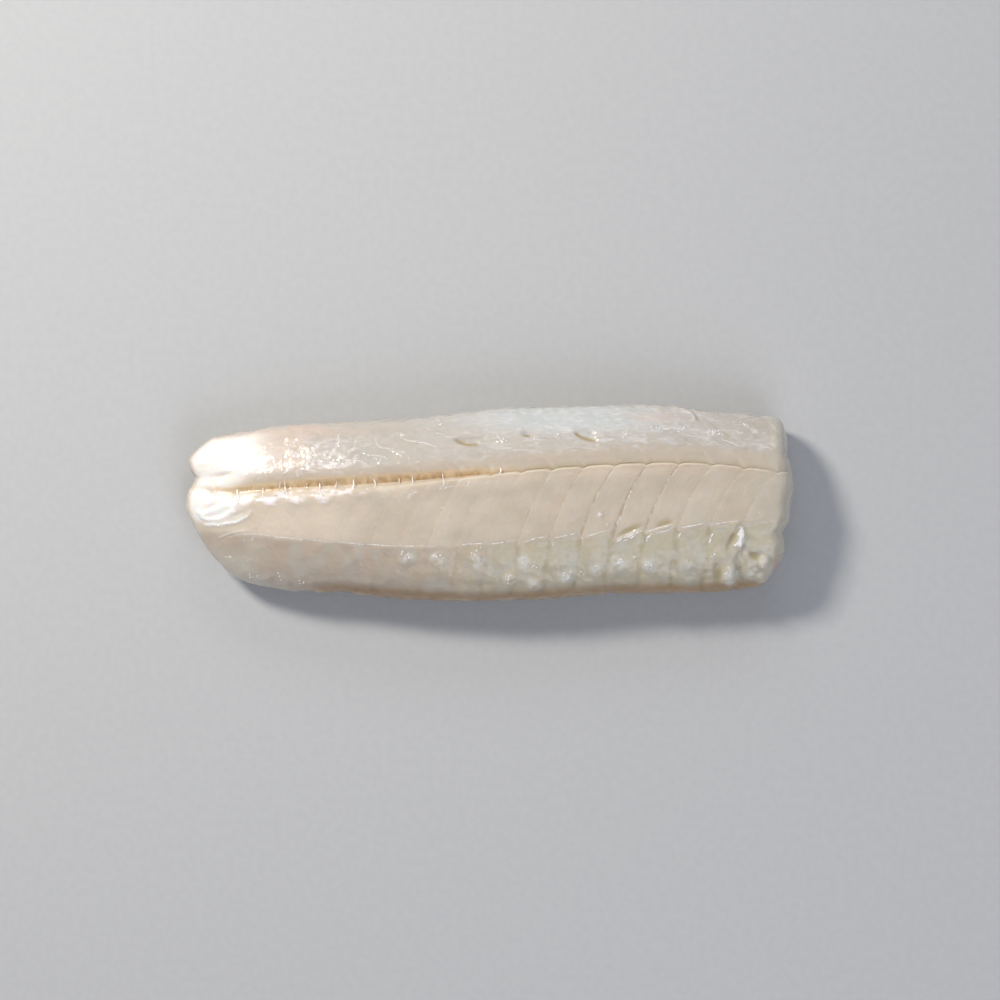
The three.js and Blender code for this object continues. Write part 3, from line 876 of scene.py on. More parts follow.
@dataclass
class TissueAndGlints:
    """Connective tissue on the flesh: threads over the groove, films, and flakes' edges, with white lips,
    ticks and ripples whose white is partly painted highlight.
    """

    flesh: LoinFlesh
    around: int = 8
    ring_step: float = 0.35
    fewest_rings: int = 5
    wander: float = 0.2
    wander_length: float = 2.2
    bead_length: float = 0.9
    film_spread: float = 1.6
    sag: float = 0.5
    above: float = 60.0
    seed: int = 7
    # Threads that bridge the groove: their routes and half widths.
    threads: tuple[tuple[Route, float], ...] = (
        (((-105.8, 6.2), (-105.2, 4.4), (-106.2, 1.8)), 0.42),
        (((-98.1, 5.2), (-98.2, 2.4), (-98.1, 0.0)), 0.22),
        (((-96.6, 6.6), (-96.1, 3.2), (-95.9, -0.2)), 0.5),
        (((-86.5, 7.4), (-86.5, 3.9), (-87.7, 0.2)), 0.34),
        (((-79.6, 9.3), (-80.3, 5.6)), 0.24),
        (((-78.0, 9.5), (-77.8, 5.8), (-76.9, 3.2), (-77.6, -0.4)), 0.3),
        (((-83.6, 2.6), (-81.4, 4.2), (-78.4, 5.1)), 0.26),
        (((-69.8, 8.6), (-69.2, 4.8)), 0.2),
        (((-64.8, 8.9), (-64.3, 4.7), (-63.8, 2.2)), 0.42),
        (((-58.1, 9.4), (-58.4, 5.4)), 0.2),
        (((-51.7, 10.4), (-51.5, 7.7), (-51.7, 5.0)), 0.32),
        (((-44.4, 10.2), (-43.3, 8.0), (-44.2, 5.8)), 0.26),
        (((-34.2, 10.6), (-34.2, 7.2)), 0.2),
        (((-29.4, 11.4), (-29.0, 7.0)), 0.22),
        (((-17.9, 12.4), (-17.2, 8.4), (-18.4, 5.4)), 0.26),
        (((3.7, 14.6), (4.6, 12.8), (3.3, 10.6)), 0.45),
    )
    # Smears of film below the groove, then films and fine lines on the back, then those
    # round the thin end.
    films: tuple[tuple[Route, float], ...] = (
        (((-31.0, 1.0), (-30.0, 3.6), (-26.2, 4.9)), 0.5),
        (((-19.6, 5.4), (-16.2, 6.6), (-12.6, 7.2)), 0.45),
        (((-8.6, 6.6), (-7.2, 8.6)), 0.35),
        (((-74.9, 18.7), (-72.3, 21.2), (-70.5, 23.9)), 0.4),
        (((-58.4, 28.3), (-57.6, 25.6), (-57.8, 23.3), (-59.3, 20.4), (-61.4, 17.7), (-64.0, 16.8)), 0.6),
        (((-66.3, 22.6), (-68.1, 19.6), (-67.8, 17.4), (-66.2, 16.9)), 0.5),
        (((-71.1, 14.7), (-68.7, 15.9), (-65.8, 16.8)), 0.3),
        (((-70.8, 14.5), (-67.8, 15.1), (-64.3, 15.5), (-61.4, 15.1), (-56.1, 13.3)), 0.34),
        (((-71.4, 12.7), (-69.3, 13.3), (-67.0, 13.0), (-65.5, 12.1)), 0.34),
        (((-73.7, 14.2), (-73.2, 11.8), (-72.3, 9.7)), 0.3),
        (((-60.5, 15.9), (-57.6, 17.1), (-53.1, 17.1), (-49.0, 16.5), (-44.0, 14.2)), 0.3),
        (((-50.2, 19.8), (-47.2, 19.2), (-43.4, 18.6), (-40.2, 18.3), (-38.1, 16.8)), 0.28),
        (((-50.8, 25.6), (-51.1, 23.0), (-52.2, 20.6), (-54.3, 19.2)), 0.4),
        (((-43.3, 26.3), (-42.8, 23.3), (-41.3, 21.8), (-37.5, 21.2), (-33.7, 21.2)), 0.3),
        (((-37.5, 20.6), (-34.6, 19.9), (-30.7, 19.8)), 0.26),
        (((-36.7, 30.1), (-34.3, 26.6), (-32.0, 24.7), (-23.2, 23.1), (-17.8, 20.4)), 0.26),
        (((-27.4, 30.3), (-20.5, 27.8), (-12.8, 25.1)), 0.22),
        (((-76.7, 12.7), (-74.9, 14.4), (-73.6, 14.9)), 0.3),
        (((2.7, 27.3), (4.5, 24.6), (6.7, 23.2)), 0.26),
        (((24.6, 27.9), (25.3, 25.8), (27.6, 23.9)), 0.26),
        (((49.1, 27.5), (51.9, 26.2), (51.0, 24.6), (54.2, 23.8)), 0.22),
        (((63.1, 29.9), (66.1, 28.9), (69.5, 29.1)), 0.5),
        (((71.9, 30.3), (73.4, 28.7), (75.0, 27.8)), 0.4),
        (((82.8, 28.7), (84.6, 27.8), (86.4, 26.3)), 0.6),
        (((87.1, 25.6), (93.1, 23.1), (99.3, 21.2)), 0.26),
        (((91.4, 29.1), (95.0, 27.8), (98.1, 26.7)), 0.26),
        (((101.9, 23.2), (105.4, 22.0), (109.1, 20.4)), 0.22),
        (((75.8, 26.7), (81.9, 25.1), (88.7, 22.8)), 0.2),
        (((71.0, 37.2), (73.8, 36.2), (77.7, 34.3), (78.6, 31.6)), 0.24),
        (((-110.4, -7.7), (-103.7, -7.9), (-96.7, -6.7), (-93.5, -5.4), (-90.6, -1.9)), 0.3),
        (((-105.5, -13.3), (-99.9, -11.4), (-95.4, -10.2), (-91.2, -10.0)), 0.22),
        (((-101.2, -12.9), (-95.4, -11.3), (-90.4, -11.0)), 0.2),
        (((-89.2, -10.2), (-89.8, -12.2), (-91.0, -14.2)), 0.4),
    )
    # White lips of the slits and ticks at the left of the belly's blocks: partly pale tissue, partly
    # painted highlight where these edges face the light.
    lips: tuple[tuple[Route, float], ...] = (
        (((46.4, -15.1), (50.0, -13.2), (53.1, -12.1), (55.9, -10.9), (59.6, -9.3)), 0.36),
        (((50.4, -13.9), (53.6, -12.7), (56.4, -11.6)), 0.4),
        (((62.0, -10.9), (66.5, -10.2), (71.0, -8.1)), 0.32),
        (((61.9, -10.7), (60.8, -12.3), (59.9, -14.4)), 0.5),
        (((73.4, -9.8), (72.6, -11.6), (71.7, -13.6)), 0.3),
        (((35.7, -12.5), (35.6, -14.2), (35.8, -15.9)), 0.36),
        (((24.4, -12.7), (24.2, -14.4), (24.5, -15.9)), 0.3),
        (((85.6, -10.2), (84.6, -12.6), (83.8, -15.2)), 0.42),
        (((96.4, -7.2), (96.1, -11.5), (95.4, -16.9)), 1.1),
        (((96.4, -12.0), (94.8, -14.6), (93.0, -16.0)), 0.9),
        (((85.2, -20.0), (85.0, -21.0)), 0.3),
        (((44.7, -6.9), (45.4, -9.2)), 0.22),
    )
    # Edges of the middle band's flakes that glint, drawn white and partly as painted glints: number, and
    # between which places.
    edges: tuple[tuple[int, float, float], ...] = (
        (4, -0.34, 0.1), (7, -0.34, -0.05), (8, -0.1, 0.22), (9, -0.22, 0.26),
        (10, -0.3, 0.3), (11, -0.32, 0.3), (12, -0.3, 0.15), (14, -0.3, 0.0),
    )
    # Patches of ripples, whose white ridges are partly painted glints: where each is, its half sizes and
    # how many ridges it has.
    ripples: tuple[tuple[Plan, Plan, int], ...] = (
        # Along the belly.
        ((-99.8, -20.4), (2.6, 2.0), 3),
        ((-91.7, -21.1), (1.0, 1.0), 2),
        ((-89.4, -27.6), (3.4, 1.6), 5),
        ((-80.6, -27.2), (1.8, 1.8), 3),
        ((-72.4, -30.2), (2.2, 1.4), 4),
        ((-31.8, -18.8), (3.0, 1.8), 6),
        ((-19.9, -19.4), (3.2, 1.6), 7),
        ((-5.5, -18.6), (2.4, 2.8), 7),
        ((8.2, -28.0), (2.0, 2.2), 9),
        ((12.8, -20.6), (1.2, 2.0), 5),
        ((17.5, -23.4), (1.4, 1.8), 5),
        ((29.8, -27.2), (2.2, 1.8), 13),
        ((34.6, -26.5), (1.2, 1.4), 4),
        ((41.2, -24.0), (1.6, 2.0), 6),
        ((50.0, -21.0), (2.0, 1.8), 12),
        ((55.5, -19.8), (1.4, 1.2), 3),
        ((61.4, -22.8), (2.0, 2.0), 11),
        ((75.8, -21.6), (0.9, 1.4), 4),
        ((85.0, -20.8), (0.8, 1.8), 4),
        ((91.0, -26.4), (1.0, 2.2), 6),
        ((94.8, -25.4), (0.6, 1.0), 2),
        ((104.6, -22.8), (1.0, 1.2), 5),
        # On the facet beside the cut end's slit.
        ((94.6, -15.4), (1.0, 1.2), 5),
        # In the middle band and on the back.
        ((42.0, -4.1), (0.5, 0.5), 2),
        ((84.4, -2.2), (0.4, 0.4), 1),
        ((103.4, -3.0), (0.4, 0.4), 1),
        ((5.4, 24.2), (1.6, 1.4), 6),
        ((17.7, 25.4), (1.4, 1.2), 3),
        ((26.2, 26.4), (1.4, 1.6), 6),
        ((51.4, 26.4), (1.8, 1.8), 7),
        ((65.1, 29.1), (3.0, 1.4), 9),
        ((72.0, 28.6), (2.6, 1.2), 7),
        ((86.6, 27.6), (2.4, 1.2), 9),
        ((97.6, 31.4), (2.6, 1.8), 7),
        ((-20.2, 31.6), (5.0, 1.6), 5),
        ((-34.4, 27.0), (3.4, 2.4), 4),
    )

    def strands(self) -> list[Strand]:
        """Returns every strand, the flakes' beaded edges and the seam's among them."""
        form = self.flesh.form
        chance = np.random.default_rng(self.seed)
        found = [
            Strand(*thread, thickness=0.2, beaded=0.4, veil=0.9, taut=True)
            for thread in self.threads
        ]
        found += [
            Strand(route, self.film_spread * width, thickness=0.035, beaded=0.4, veil=0.5)
            for route, width in self.films
        ]
        found += [Strand(*lip, thickness=0.13, beaded=1.1, veil=0.95) for lip in self.lips]
        for number, low, high in self.edges:
            route = form.edge_route(number, np.linspace(low, high, 9))
            strength = self.flesh.relief.edges[number]
            found.append(Strand(route, 0.08 + 0.06 * strength, 0.05, 2.0, 0.3 + 0.3 * strength))
        found.append(Strand(form.seam_route(np.arange(-102.0, -4.0, 3.5)), 0.27, 0.06, 1.0, 0.7))
        for number in range(5, 14):
            ends = form.flake_edge(number) + 0.4, form.flake_edge(number + 0.95)
            found.append(Strand(form.seam_route(np.linspace(*ends, 6)), 0.26, 0.1, 0.8))
        for patch in self.ripples:
            for route in Ripples(*patch).routes(chance):
                found.append(Strand(route, chance.uniform(0.22, 0.46), 0.09, 0.6, 0.9))
        return found

    def build(self, body: bpy.types.Object, material: bpy.types.Material) -> bpy.types.Object:
        """Lays the strands on the flesh.

        Args:
            body: The flesh's piece.
            material: The tissue's finish.

        Returns:
            The finished piece.
        """
        corners = [vertex.co.copy() for vertex in body.data.vertices]
        faces = [face.vertices for face in body.data.polygons]
        surface = BVHTree.FromPolygons(corners, faces)
        shell = bmesh.new()
        self.veil = shell.verts.layers.float.new("veil")
        for number, strand in enumerate(self.strands()):
            self.lay(shell, surface, strand, number)
        return new_piece("tissue_and_glint_strands", shell, material)

    def lay(
        self, shell: bmesh.types.BMesh, surface: BVHTree, strand: Strand, number: int
    ) -> None:
        """Adds one strand to the shell.

        Args:
            shell: The mesh to add to.
            surface: The flesh, to find its height.
            strand: The strand to lay.
            number: Its number, which picks where it is thick and thin.
        """
        route = np.array(strand.route)
        at = np.r_[0, np.cumsum(np.hypot(*np.diff(route, axis=0).T))]
        rings = max(self.fewest_rings, int(at[-1] / self.ring_step))
        place = np.linspace(0, at[-1], rings + 1)
        spots = np.column_stack((place, place * 0, place * 0))
        x = Through(*zip(at, route[:, 0]))(place) + self.flesh.shift[0]
        y = Through(*zip(at, route[:, 1]))(place) + self.flesh.shift[1]
        x = x + self.wander * drift(spots, self.wander_length, 5.0 * number + 0.2)
        y = y + self.wander * drift(spots, self.wander_length, 5.0 * number + 2.7)
        down = Vector((0, 0, -1))
        starts = zip(x, y)
        hits = [surface.ray_cast(Vector((a, b, self.above)) * MM, down) for a, b in starts]
        z = np.array([hit[0].z / MM if hit[0] else 0.0 for hit in hits])
        up = np.array([tuple(hit[1]) if hit[0] else (0, 0, 1) for hit in hits], float)
        if strand.taut:
            z = np.maximum(z, np.interp(place, (0, at[-1]), (z[0], z[-1])) - self.sag)
            up = np.tile((0.0, 0.0, 1.0), (len(z), 1))
        along = np.column_stack((np.gradient(x), np.gradient(y), np.gradient(z)))
        side = np.cross(along, up)
        side /= np.linalg.norm(side, axis=1, keepdims=True)
        beads = 1 + strand.beaded * drift(spots, self.bead_length, 7.0 * number + 0.5)
        from_ends = np.sin(np.pi * place / at[-1]).clip(0)
        taper = from_ends**0.6 * beads
        vertices, ring, turn = sphere_grid(shell, self.around, rings)
        angle = 2 * np.pi * turn / self.around
        points = (
            np.column_stack((x, y, z))[ring]
            + side[ring] * (strand.half_width * taper[ring] * np.cos(angle))[:, None]
            + up[ring] * (strand.thickness * taper[ring] * np.sin(angle))[:, None]
        )
        veil = strand.veil * np.abs(np.sin(angle)) * ramp(from_ends[ring], 0, 0.5)
        for vertex, point, share in zip(vertices, points * MM, veil):
            vertex.co = point
            vertex[self.veil] = share


# ------------------------------------------------------------------ Finishes
def linear(colour: str) -> tuple[float, float, float, float]:
    """Turns an sRGB hex colour into Blender's linear one."""
    parts = (int(colour[i : i + 2], 16) / 255 for i in (1, 3, 5))
    return (*(c / 12.92 if c <= 0.04045 else ((c + 0.055) / 1.055) ** 2.4 for c in parts), 1.0)


def add_node(
    tree: bpy.types.NodeTree, kind: str, inputs: dict, output: int | str = 0, **settings: object
) -> bpy.types.NodeSocket | None:
    """Adds a node to a tree.

    Args:
        tree: The tree to add to.
        kind: The node's class.
        inputs: A value, or another node's socket, for each input by name or number.
        output: Which of its outputs is wanted.
        **settings: The node's own settings.

    Returns:
        The wanted output, or None if the node has none.
    """
    node = tree.nodes.new(kind)
    for name, value in settings.items():
        setattr(node, name, value)
    for name, value in inputs.items():
        if isinstance(value, bpy.types.NodeSocket):
            tree.links.new(value, node.inputs[name])
        else:
            node.inputs[name].default_value = value
    return node.outputs[output] if node.outputs else None


class Fold(Enum):
    """What is done to a pattern before it is compared with its thresholds."""

    AS_IT_IS = "as it is"
    TO_WHOLE = "distance to the nearest whole number"
    PART = "how far it is past the whole number below it"
    PER_WHOLE = "one random value for each whole number"


@dataclass(frozen=True)
class Cloud:
    """Smooth random pattern: its lumps' size along X, Y and Z in mm, detail and twist."""

    size: tuple[float, float, float]
    detail: float = 3.0
    twist: float = 0.0


@dataclass(frozen=True)
class Fibres:
    """Random streaks beside the flakes' edges: their width in flakes and length in mm."""

    width: float
    length: float


@dataclass(frozen=True)
class Gate:
    """Where something shows: from nothing at the start of a pattern's values to full."""

    pattern: str | Cloud | Fibres
    start: float = 0.0
    full: float = 1.0
    fold: Fold = Fold.AS_IT_IS


@dataclass(frozen=True)
class Tint:
    """A colour that is laid over those before it, by a share, where its gates let it."""

    colour: str
    share: float
    gates: tuple[Gate, ...]


@dataclass(frozen=True)
class Bump:
    """Relief too fine for the mesh: its depth in millimetres, where its gates let it."""

    depth: float
    gates: tuple[Gate, ...]


def by_flake_edge(start: float, full: float) -> Gate:
    """Makes a gate on the distance to the nearest flake's edge, in flakes."""
    return Gate("flake_count", start, full, Fold.TO_WHOLE)


def tint(colour: str, share: float, *gates: Gate) -> Tint:
    """Makes a tint that shows where all its gates are open."""
    return Tint(colour, share, gates)


def bump(depth: float, *gates: Gate) -> Bump:
    """Makes a bump that shows where all its gates are open."""
    return Bump(depth, gates)


BACK = Gate("in_back")
MIDDLE = Gate("in_middle")
BELLY = Gate("in_belly")
UNDER = Gate("under")
SIDE = Gate("side")
CUT_FACE = Gate("cut_face")

# The flakes' edges on the skinned side and on the knife-cut face.
FLAKE_BUMPS = (
    bump(0.11, UNDER, by_flake_edge(0.0, 0.12)),
    bump(0.1, CUT_FACE, by_flake_edge(0.0, 0.2)),
)

# The sockets of a Mix node that take its two colours, and the one that gives the result.
MIX_FIRST = 6
MIX_SECOND = 7
MIX_RESULT = 2


class Palette:
    """Builds one material's nodes from its tints and bumps, at their real sizes."""

    def __init__(self, name: str) -> None:
        """Starts an empty material."""
        self.material = bpy.data.materials.new(name)
        self.material.use_nodes = True
        self.tree = self.material.node_tree
        self.tree.nodes.clear()
        place = add_node(self.tree, "ShaderNodeTexCoord", {}, "Object")
        to_mm = {0: place, "Scale": 1 / MM}
        self.in_mm = add_node(self.tree, "ShaderNodeVectorMath", to_mm, operation="SCALE")

    def values(self, pattern: str | Cloud | Fibres) -> bpy.types.NodeSocket:
        """Reads one of the piece's own marks, a cloud or fibres."""
        if isinstance(pattern, str):
            return add_node(self.tree, "ShaderNodeAttribute", {}, "Fac", attribute_name=pattern)
        if isinstance(pattern, Fibres):
            count = self.values("flake_count")
            apart = add_node(self.tree, "ShaderNodeSeparateXYZ", {0: self.in_mm}, 1)
            place = add_node(self.tree, "ShaderNodeCombineXYZ", {0: count, 1: apart})
            stretch = {"Vector": place, "Scale": (1 / pattern.width, 1 / pattern.length, 1.0)}
            place = add_node(self.tree, "ShaderNodeMapping", stretch)
            inputs = {"Vector": place, "Scale": 1.0, "Detail": 1.0}
            return add_node(self.tree, "ShaderNodeTexNoise", inputs)
        stretch = {"Vector": self.in_mm, "Scale": tuple(1 / size for size in pattern.size)}
        place = add_node(self.tree, "ShaderNodeMapping", stretch)
        inputs = {"Vector": place, "Scale": 1.0, "Detail": pattern.detail}
        return add_node(self.tree, "ShaderNodeTexNoise", inputs | {"Distortion": pattern.twist})

    def gate(self, gate: Gate) -> bpy.types.NodeSocket:
        """Returns how far a gate is open, from 0 to 1."""
        value = self.values(gate.pattern)
        if gate.fold is Fold.TO_WHOLE:
            value = add_node(self.tree, "ShaderNodeMath", {0: value, 1: 0.5}, operation="PINGPONG")
        if gate.fold is Fold.PART:
            value = add_node(self.tree, "ShaderNodeMath", {0: value}, operation="FRACT")
        if gate.fold is Fold.PER_WHOLE:
            whole = add_node(self.tree, "ShaderNodeMath", {0: value}, operation="FLOOR")
            value = add_node(
                self.tree, "ShaderNodeTexWhiteNoise", {"W": whole}, noise_dimensions="1D"
            )
        ends = (0.0, 1.0) if gate.start < gate.full else (1.0, 0.0)
        low, high = sorted((gate.start, gate.full))
        inputs = {0: value, 1: low, 2: high, 3: ends[0], 4: ends[1]}
        return add_node(
            self.tree, "ShaderNodeMapRange", inputs, interpolation_type="SMOOTHSTEP"
        )

    def share(self, amount: float, gates: tuple[Gate, ...]) -> bpy.types.NodeSocket | float:
        """Multiplies an amount by how far each gate is open."""
        total = amount
        for gate in gates:
            inputs = {0: self.gate(gate), 1: total}
            total = add_node(self.tree, "ShaderNodeMath", inputs, operation="MULTIPLY")
        return total

    def colour(self, base: str, tints: tuple[Tint, ...]) -> bpy.types.NodeSocket:
        """Lays the tints over the base colour, in order."""
        colour = linear(base)
        for layer in tints:
            share = self.share(layer.share, layer.gates)
            inputs = {0: share, MIX_FIRST: colour, MIX_SECOND: linear(layer.colour)}
            colour = add_node(self.tree, "ShaderNodeMix", inputs, MIX_RESULT, data_type="RGBA")
        return colour

    def relief(self, bumps: tuple[Bump, ...]) -> bpy.types.NodeSocket:
        """Adds the bumps up into one normal."""
        normal = None
        for layer in bumps:
            inputs = {"Height": self.share(1.0, layer.gates), "Distance": layer.depth * MM}
            inputs |= {"Strength": 1.0} | ({"Normal": normal} if normal else {})
            normal = add_node(self.tree, "ShaderNodeBump", inputs)
        return normal

    def finish(self, inputs: dict) -> bpy.types.Material:
        """Ends the material in one surface shader with these inputs."""
        shader = add_node(self.tree, "ShaderNodeBsdfPrincipled", inputs)
        add_node(self.tree, "ShaderNodeOutputMaterial", {"Surface": shader})
        return self.material


@dataclass(frozen=True)
class RawFlesh:
    """Raw cod muscle: pale, see-through for a few millimetres, and wet on top.

    Light goes in and comes out warmer a few millimetres away, so edges of flakes look
    soft. The wet film over it gives small sharp glints on every lump.
    """

    base: str = "#d2c7b8"
    tints: tuple[Tint, ...] = (
        tint("#c2bcb5", 1.0, BACK),
        tint("#bdafa1", 1.0, BELLY),
        tint("#c9c0a9", 1.0, BELLY, Gate("cutwards")),
        tint("#b5aa9b", 1.0, UNDER),
        tint("#a58f7b", 0.5, Gate("dark_line"), Gate(Cloud((9, 2.5, 4), 3.0), 0.3, 0.65)),
        tint("#cfc7ba", 0.4, UNDER, Gate(Fibres(0.08, 7.0), 0.45, 0.72)),
        tint(
            "#e2dccf", 0.5, UNDER, by_flake_edge(0.06, 0.02),
            Gate(Cloud((5, 5, 5), 2.0), 0.34, 0.6),
        ),
        # Each flake has its own tone and darkens towards its edge.
        tint("#c2b39a", 0.13, Gate("flake_count", fold=Fold.PER_WHOLE)),
        tint("#c4b69f", 0.22, MIDDLE, Gate("flake_count", 0.4, 1.0, Fold.PART)),
        # Fibres run along the flakes.
        tint("#b5a88f", 0.16, Gate(Fibres(0.07, 9.0), 0.48, 0.72), MIDDLE),
        tint("#eae4da", 0.12, Gate(Fibres(0.045, 5.0), 0.5, 0.8), MIDDLE),
        # Broad clouds of paler and greyer flesh, and the pearly sheen of the back.
        tint("#ddd4c6", 0.4, Gate(Cloud((13, 9, 9), 1.0), 0.3, 0.8), MIDDLE),
        tint("#e2d6c6", 0.5, MIDDLE, Gate("cutwards", 0.08, 0.0)),
        tint("#b5ae9f", 0.25, Gate(Cloud((12, 8, 8), 1.0), 0.6, 0.25)),
        tint("#c2c6c1", 0.35, BELLY, Gate(Cloud((6, 10, 7), 1.0), 0.38, 0.72)),
        tint("#ccd2d4", 0.8, Gate("pearl")),
        # Olive-brown in the belly's furrows, brown painted shade on the near edge's side, which faces
        # away from the light, pink on the back.
        tint(
            "#a8966c", 0.38, BELLY, Gate("cutwards", 0.1, 0.9), by_flake_edge(0.16, 0.0),
            Gate(Cloud((6, 4, 4), 1.0), 0.36, 0.6),
        ),
        tint("#c8b5a4", 0.3, BELLY, Gate("cutwards", 1.0, 0.4), by_flake_edge(0.3, 0.05)),
        tint("#9a7646", 0.85, Gate("rim")),
        tint("#e6c9b9", 0.5, Gate("blush"), Gate(Cloud((9, 5, 5), 2.0), 0.25, 0.75)),
        # On the sides each flake's edge is a fine grey line, and the flesh is mottled.
        tint("#a79f92", 0.26, SIDE, by_flake_edge(0.07, 0.015), Gate(Cloud((4, 4, 4)), 0.3, 0.6)),
        tint("#d9d2c6", 0.35, SIDE, Gate(Cloud((11, 6, 6), 3.0, 0.6), 0.42, 0.68)),
        # Streaks of thin whitish film over the back.
        tint(
            "#e3e4e6", 0.4, BACK, Gate("cutwards", 0.3, 0.9),
            Gate(Cloud((7, 1.8, 3), 2.0, 1.2), 0.5, 0.68),
        ),
        # Hairlines at flakes' edges.
        tint(
            "#a58d70", 0.45, MIDDLE, Gate("edge_strength", 0.2, 1.3), by_flake_edge(0.04, 0.012),
            Gate(Cloud((3, 3, 3)), 0.35, 0.55),
        ),
        # The tapered end whitens over its last few centimetres: partly its paler flesh, folds and lumps,
        # partly a painted highlight of the bright light on that end, strongest on faces turned up.
        tint("#d0c2b6", 1.0, Gate("pallor_and_glare", 0.0, 0.4), BACK),
        tint("#fffefc", 0.95, Gate("pallor_and_glare", 0.3, 1.1)),
        tint("#f3e7dc", 0.5, Gate("pallor_and_glare", 0.4, 1.0), Gate(Cloud((7, 4, 5), 2.0, 1.0), 0.5, 0.7)),
        # The knife-cut face shows the flakes as rings, with pale lines between them.
        tint("#b9af9e", 0.4, CUT_FACE, Gate("flake_count", fold=Fold.PER_WHOLE)),
        tint("#d8d2c6", 0.5, CUT_FACE, Gate(Cloud((5, 3, 3), 4.0, 0.5), 0.42, 0.68)),
        tint(
            "#e9e4de", 0.5, CUT_FACE, by_flake_edge(0.13, 0.03),
            Gate(Cloud((5, 5, 5), 2.0), 0.36, 0.58),
        ),
        # Olive painted shade in the clefts, slits and hollows, then the tan of the groove, partly its own
        # colour and partly painted shade on its upper wall, which pales towards the cut end.
        tint("#b09c68", 0.75, Gate("hollow", 0.1, 1.0)),
        tint("#e7d0ac", 1.0, Gate("groove_tan_and_shade", 0.0, 0.8)),
        tint(
            "#b48d58", 0.72, Gate("groove_tan_and_shade", 0.4, 0.9),
            Gate(Cloud((4, 5, 5), 2.0, 0.6), 0.3, 0.66),
        ),
        tint(
            "#9c7c48", 0.22, Gate("groove_tan_and_shade", 0.85, 1.0), Gate("cutwards", 0.36, 0.1),
            Gate(Cloud((0.8, 4, 4), 1.0), 0.45, 0.7),
        ),
        tint("#b3a888", 0.55, Gate("groove_tan_and_shade", 0.1, 0.35), Gate("cutwards", 0.75, 1.0)),
        # Films, lumps, the blood at the cut end, and the sheerer ends.
        tint("#f2eef4", 0.8, Gate("groove_film"), Gate(Cloud((3.4, 1.8, 3), 1.0), 0.42, 0.6)),
        tint("#e4e6e4", 0.6, Gate("lump"), BELLY, Gate(Cloud((3, 3, 3)), 0.3, 0.6)),
        tint(
            "#f3f1f8", 0.85, Gate("lump", 0.0, 0.95), MIDDLE,
            Gate(Cloud((2.4, 1.6, 2), 2.0), 0.36, 0.6),
        ),
        tint("#f1ecf0", 0.55, Gate("film"), Gate(Cloud((7, 3, 3), 2.0, 2.0), 0.46, 0.68)),
        tint("#b0584a", 0.9, Gate("blood", 0.1, 0.8), Gate(Cloud((4, 4, 4)), 0.3, 0.55)),
        tint("#c7c3b7", 0.6, Gate("sheer")),
    )
    lumps: tuple[Bump, ...] = (
        bump(0.14, Gate(Cloud((3.2, 3.2, 3.2), 1.0), 0.2, 0.8), Gate("under", 1.2, 0.0)),
        *FLAKE_BUMPS,
    )
    beads: tuple[Bump, ...] = (
        bump(0.15, Gate(Cloud((3.2, 3.2, 3.2), 1.0), 0.2, 0.8), Gate("under", 1.2, 0.0)),
        *FLAKE_BUMPS,
        bump(0.12, Gate(Cloud((2.2, 1.4, 1.4), 2.0), 0.2, 0.8), SIDE),
        bump(0.05, Gate(Cloud((1.0, 1.0, 1.0), 2.0), 0.2, 0.8), Gate("in_middle", 1.0, 0.2)),
        bump(0.11, Gate(Cloud((3.6, 1.2, 1.6), 2.0, 0.6), 0.3, 0.7), BACK),
        bump(0.22, Gate(Cloud((1.1, 1.1, 1.1), 1.0), 0.4, 0.75), Gate("lump", 0.0, 0.6)),
        bump(0.2, Gate(Cloud((1.6, 1.6, 1.6), 1.0), 0.5, 0.8), BELLY),
    )

    def material(self) -> bpy.types.Material:
        """Returns the finish as a material."""
        p = Palette("raw_cod_flesh")
        return p.finish(
            {
                "Base Color": p.colour(self.base, self.tints),
                "Roughness": 0.42,
                "IOR": 1.4,
                "Subsurface Weight": 0.85,
                "Subsurface Radius": (3.4, 2.4, 1.7),
                "Subsurface Scale": MM,
                "Coat Weight": 1.0,
                "Coat Roughness": 0.1,
                "Coat IOR": 1.45,
                "Normal": p.relief(self.lumps),
                "Coat Normal": p.relief(self.beads),
            }
        )


@dataclass(frozen=True)
class MembraneAndGlintWhite:
    """Connective tissue: whiter than the flesh, thin, smooth and wet, so it glints; on the lips, ticks
    and ripples its white is partly a painted highlight.
    """

    base: str = "#fbf8f6"
    tints: tuple[Tint, ...] = (tint("#efe9e6", 0.8, Gate(Cloud((1.6, 1.6, 1.6)), 0.45, 0.65)),)
    beads: tuple[Bump, ...] = (bump(0.1, Gate(Cloud((0.8, 0.8, 0.8), 1.0), 0.3, 0.7)),)

    def material(self) -> bpy.types.Material:
        """Returns the finish as a material."""
        p = Palette("membrane_and_glint_white")
        return p.finish(
            {
                "Base Color": p.colour(self.base, self.tints),
                "Roughness": 0.35,
                "IOR": 1.4,
                "Coat Weight": 1.0,
                "Coat Roughness": 0.08,
                "Alpha": p.share(
                    1.0, (Gate("veil", 0.0, 0.9), Gate(Cloud((2, 2, 2)), 0.15, 0.55))
                ),
                "Normal": p.relief(self.beads),
            }
        )


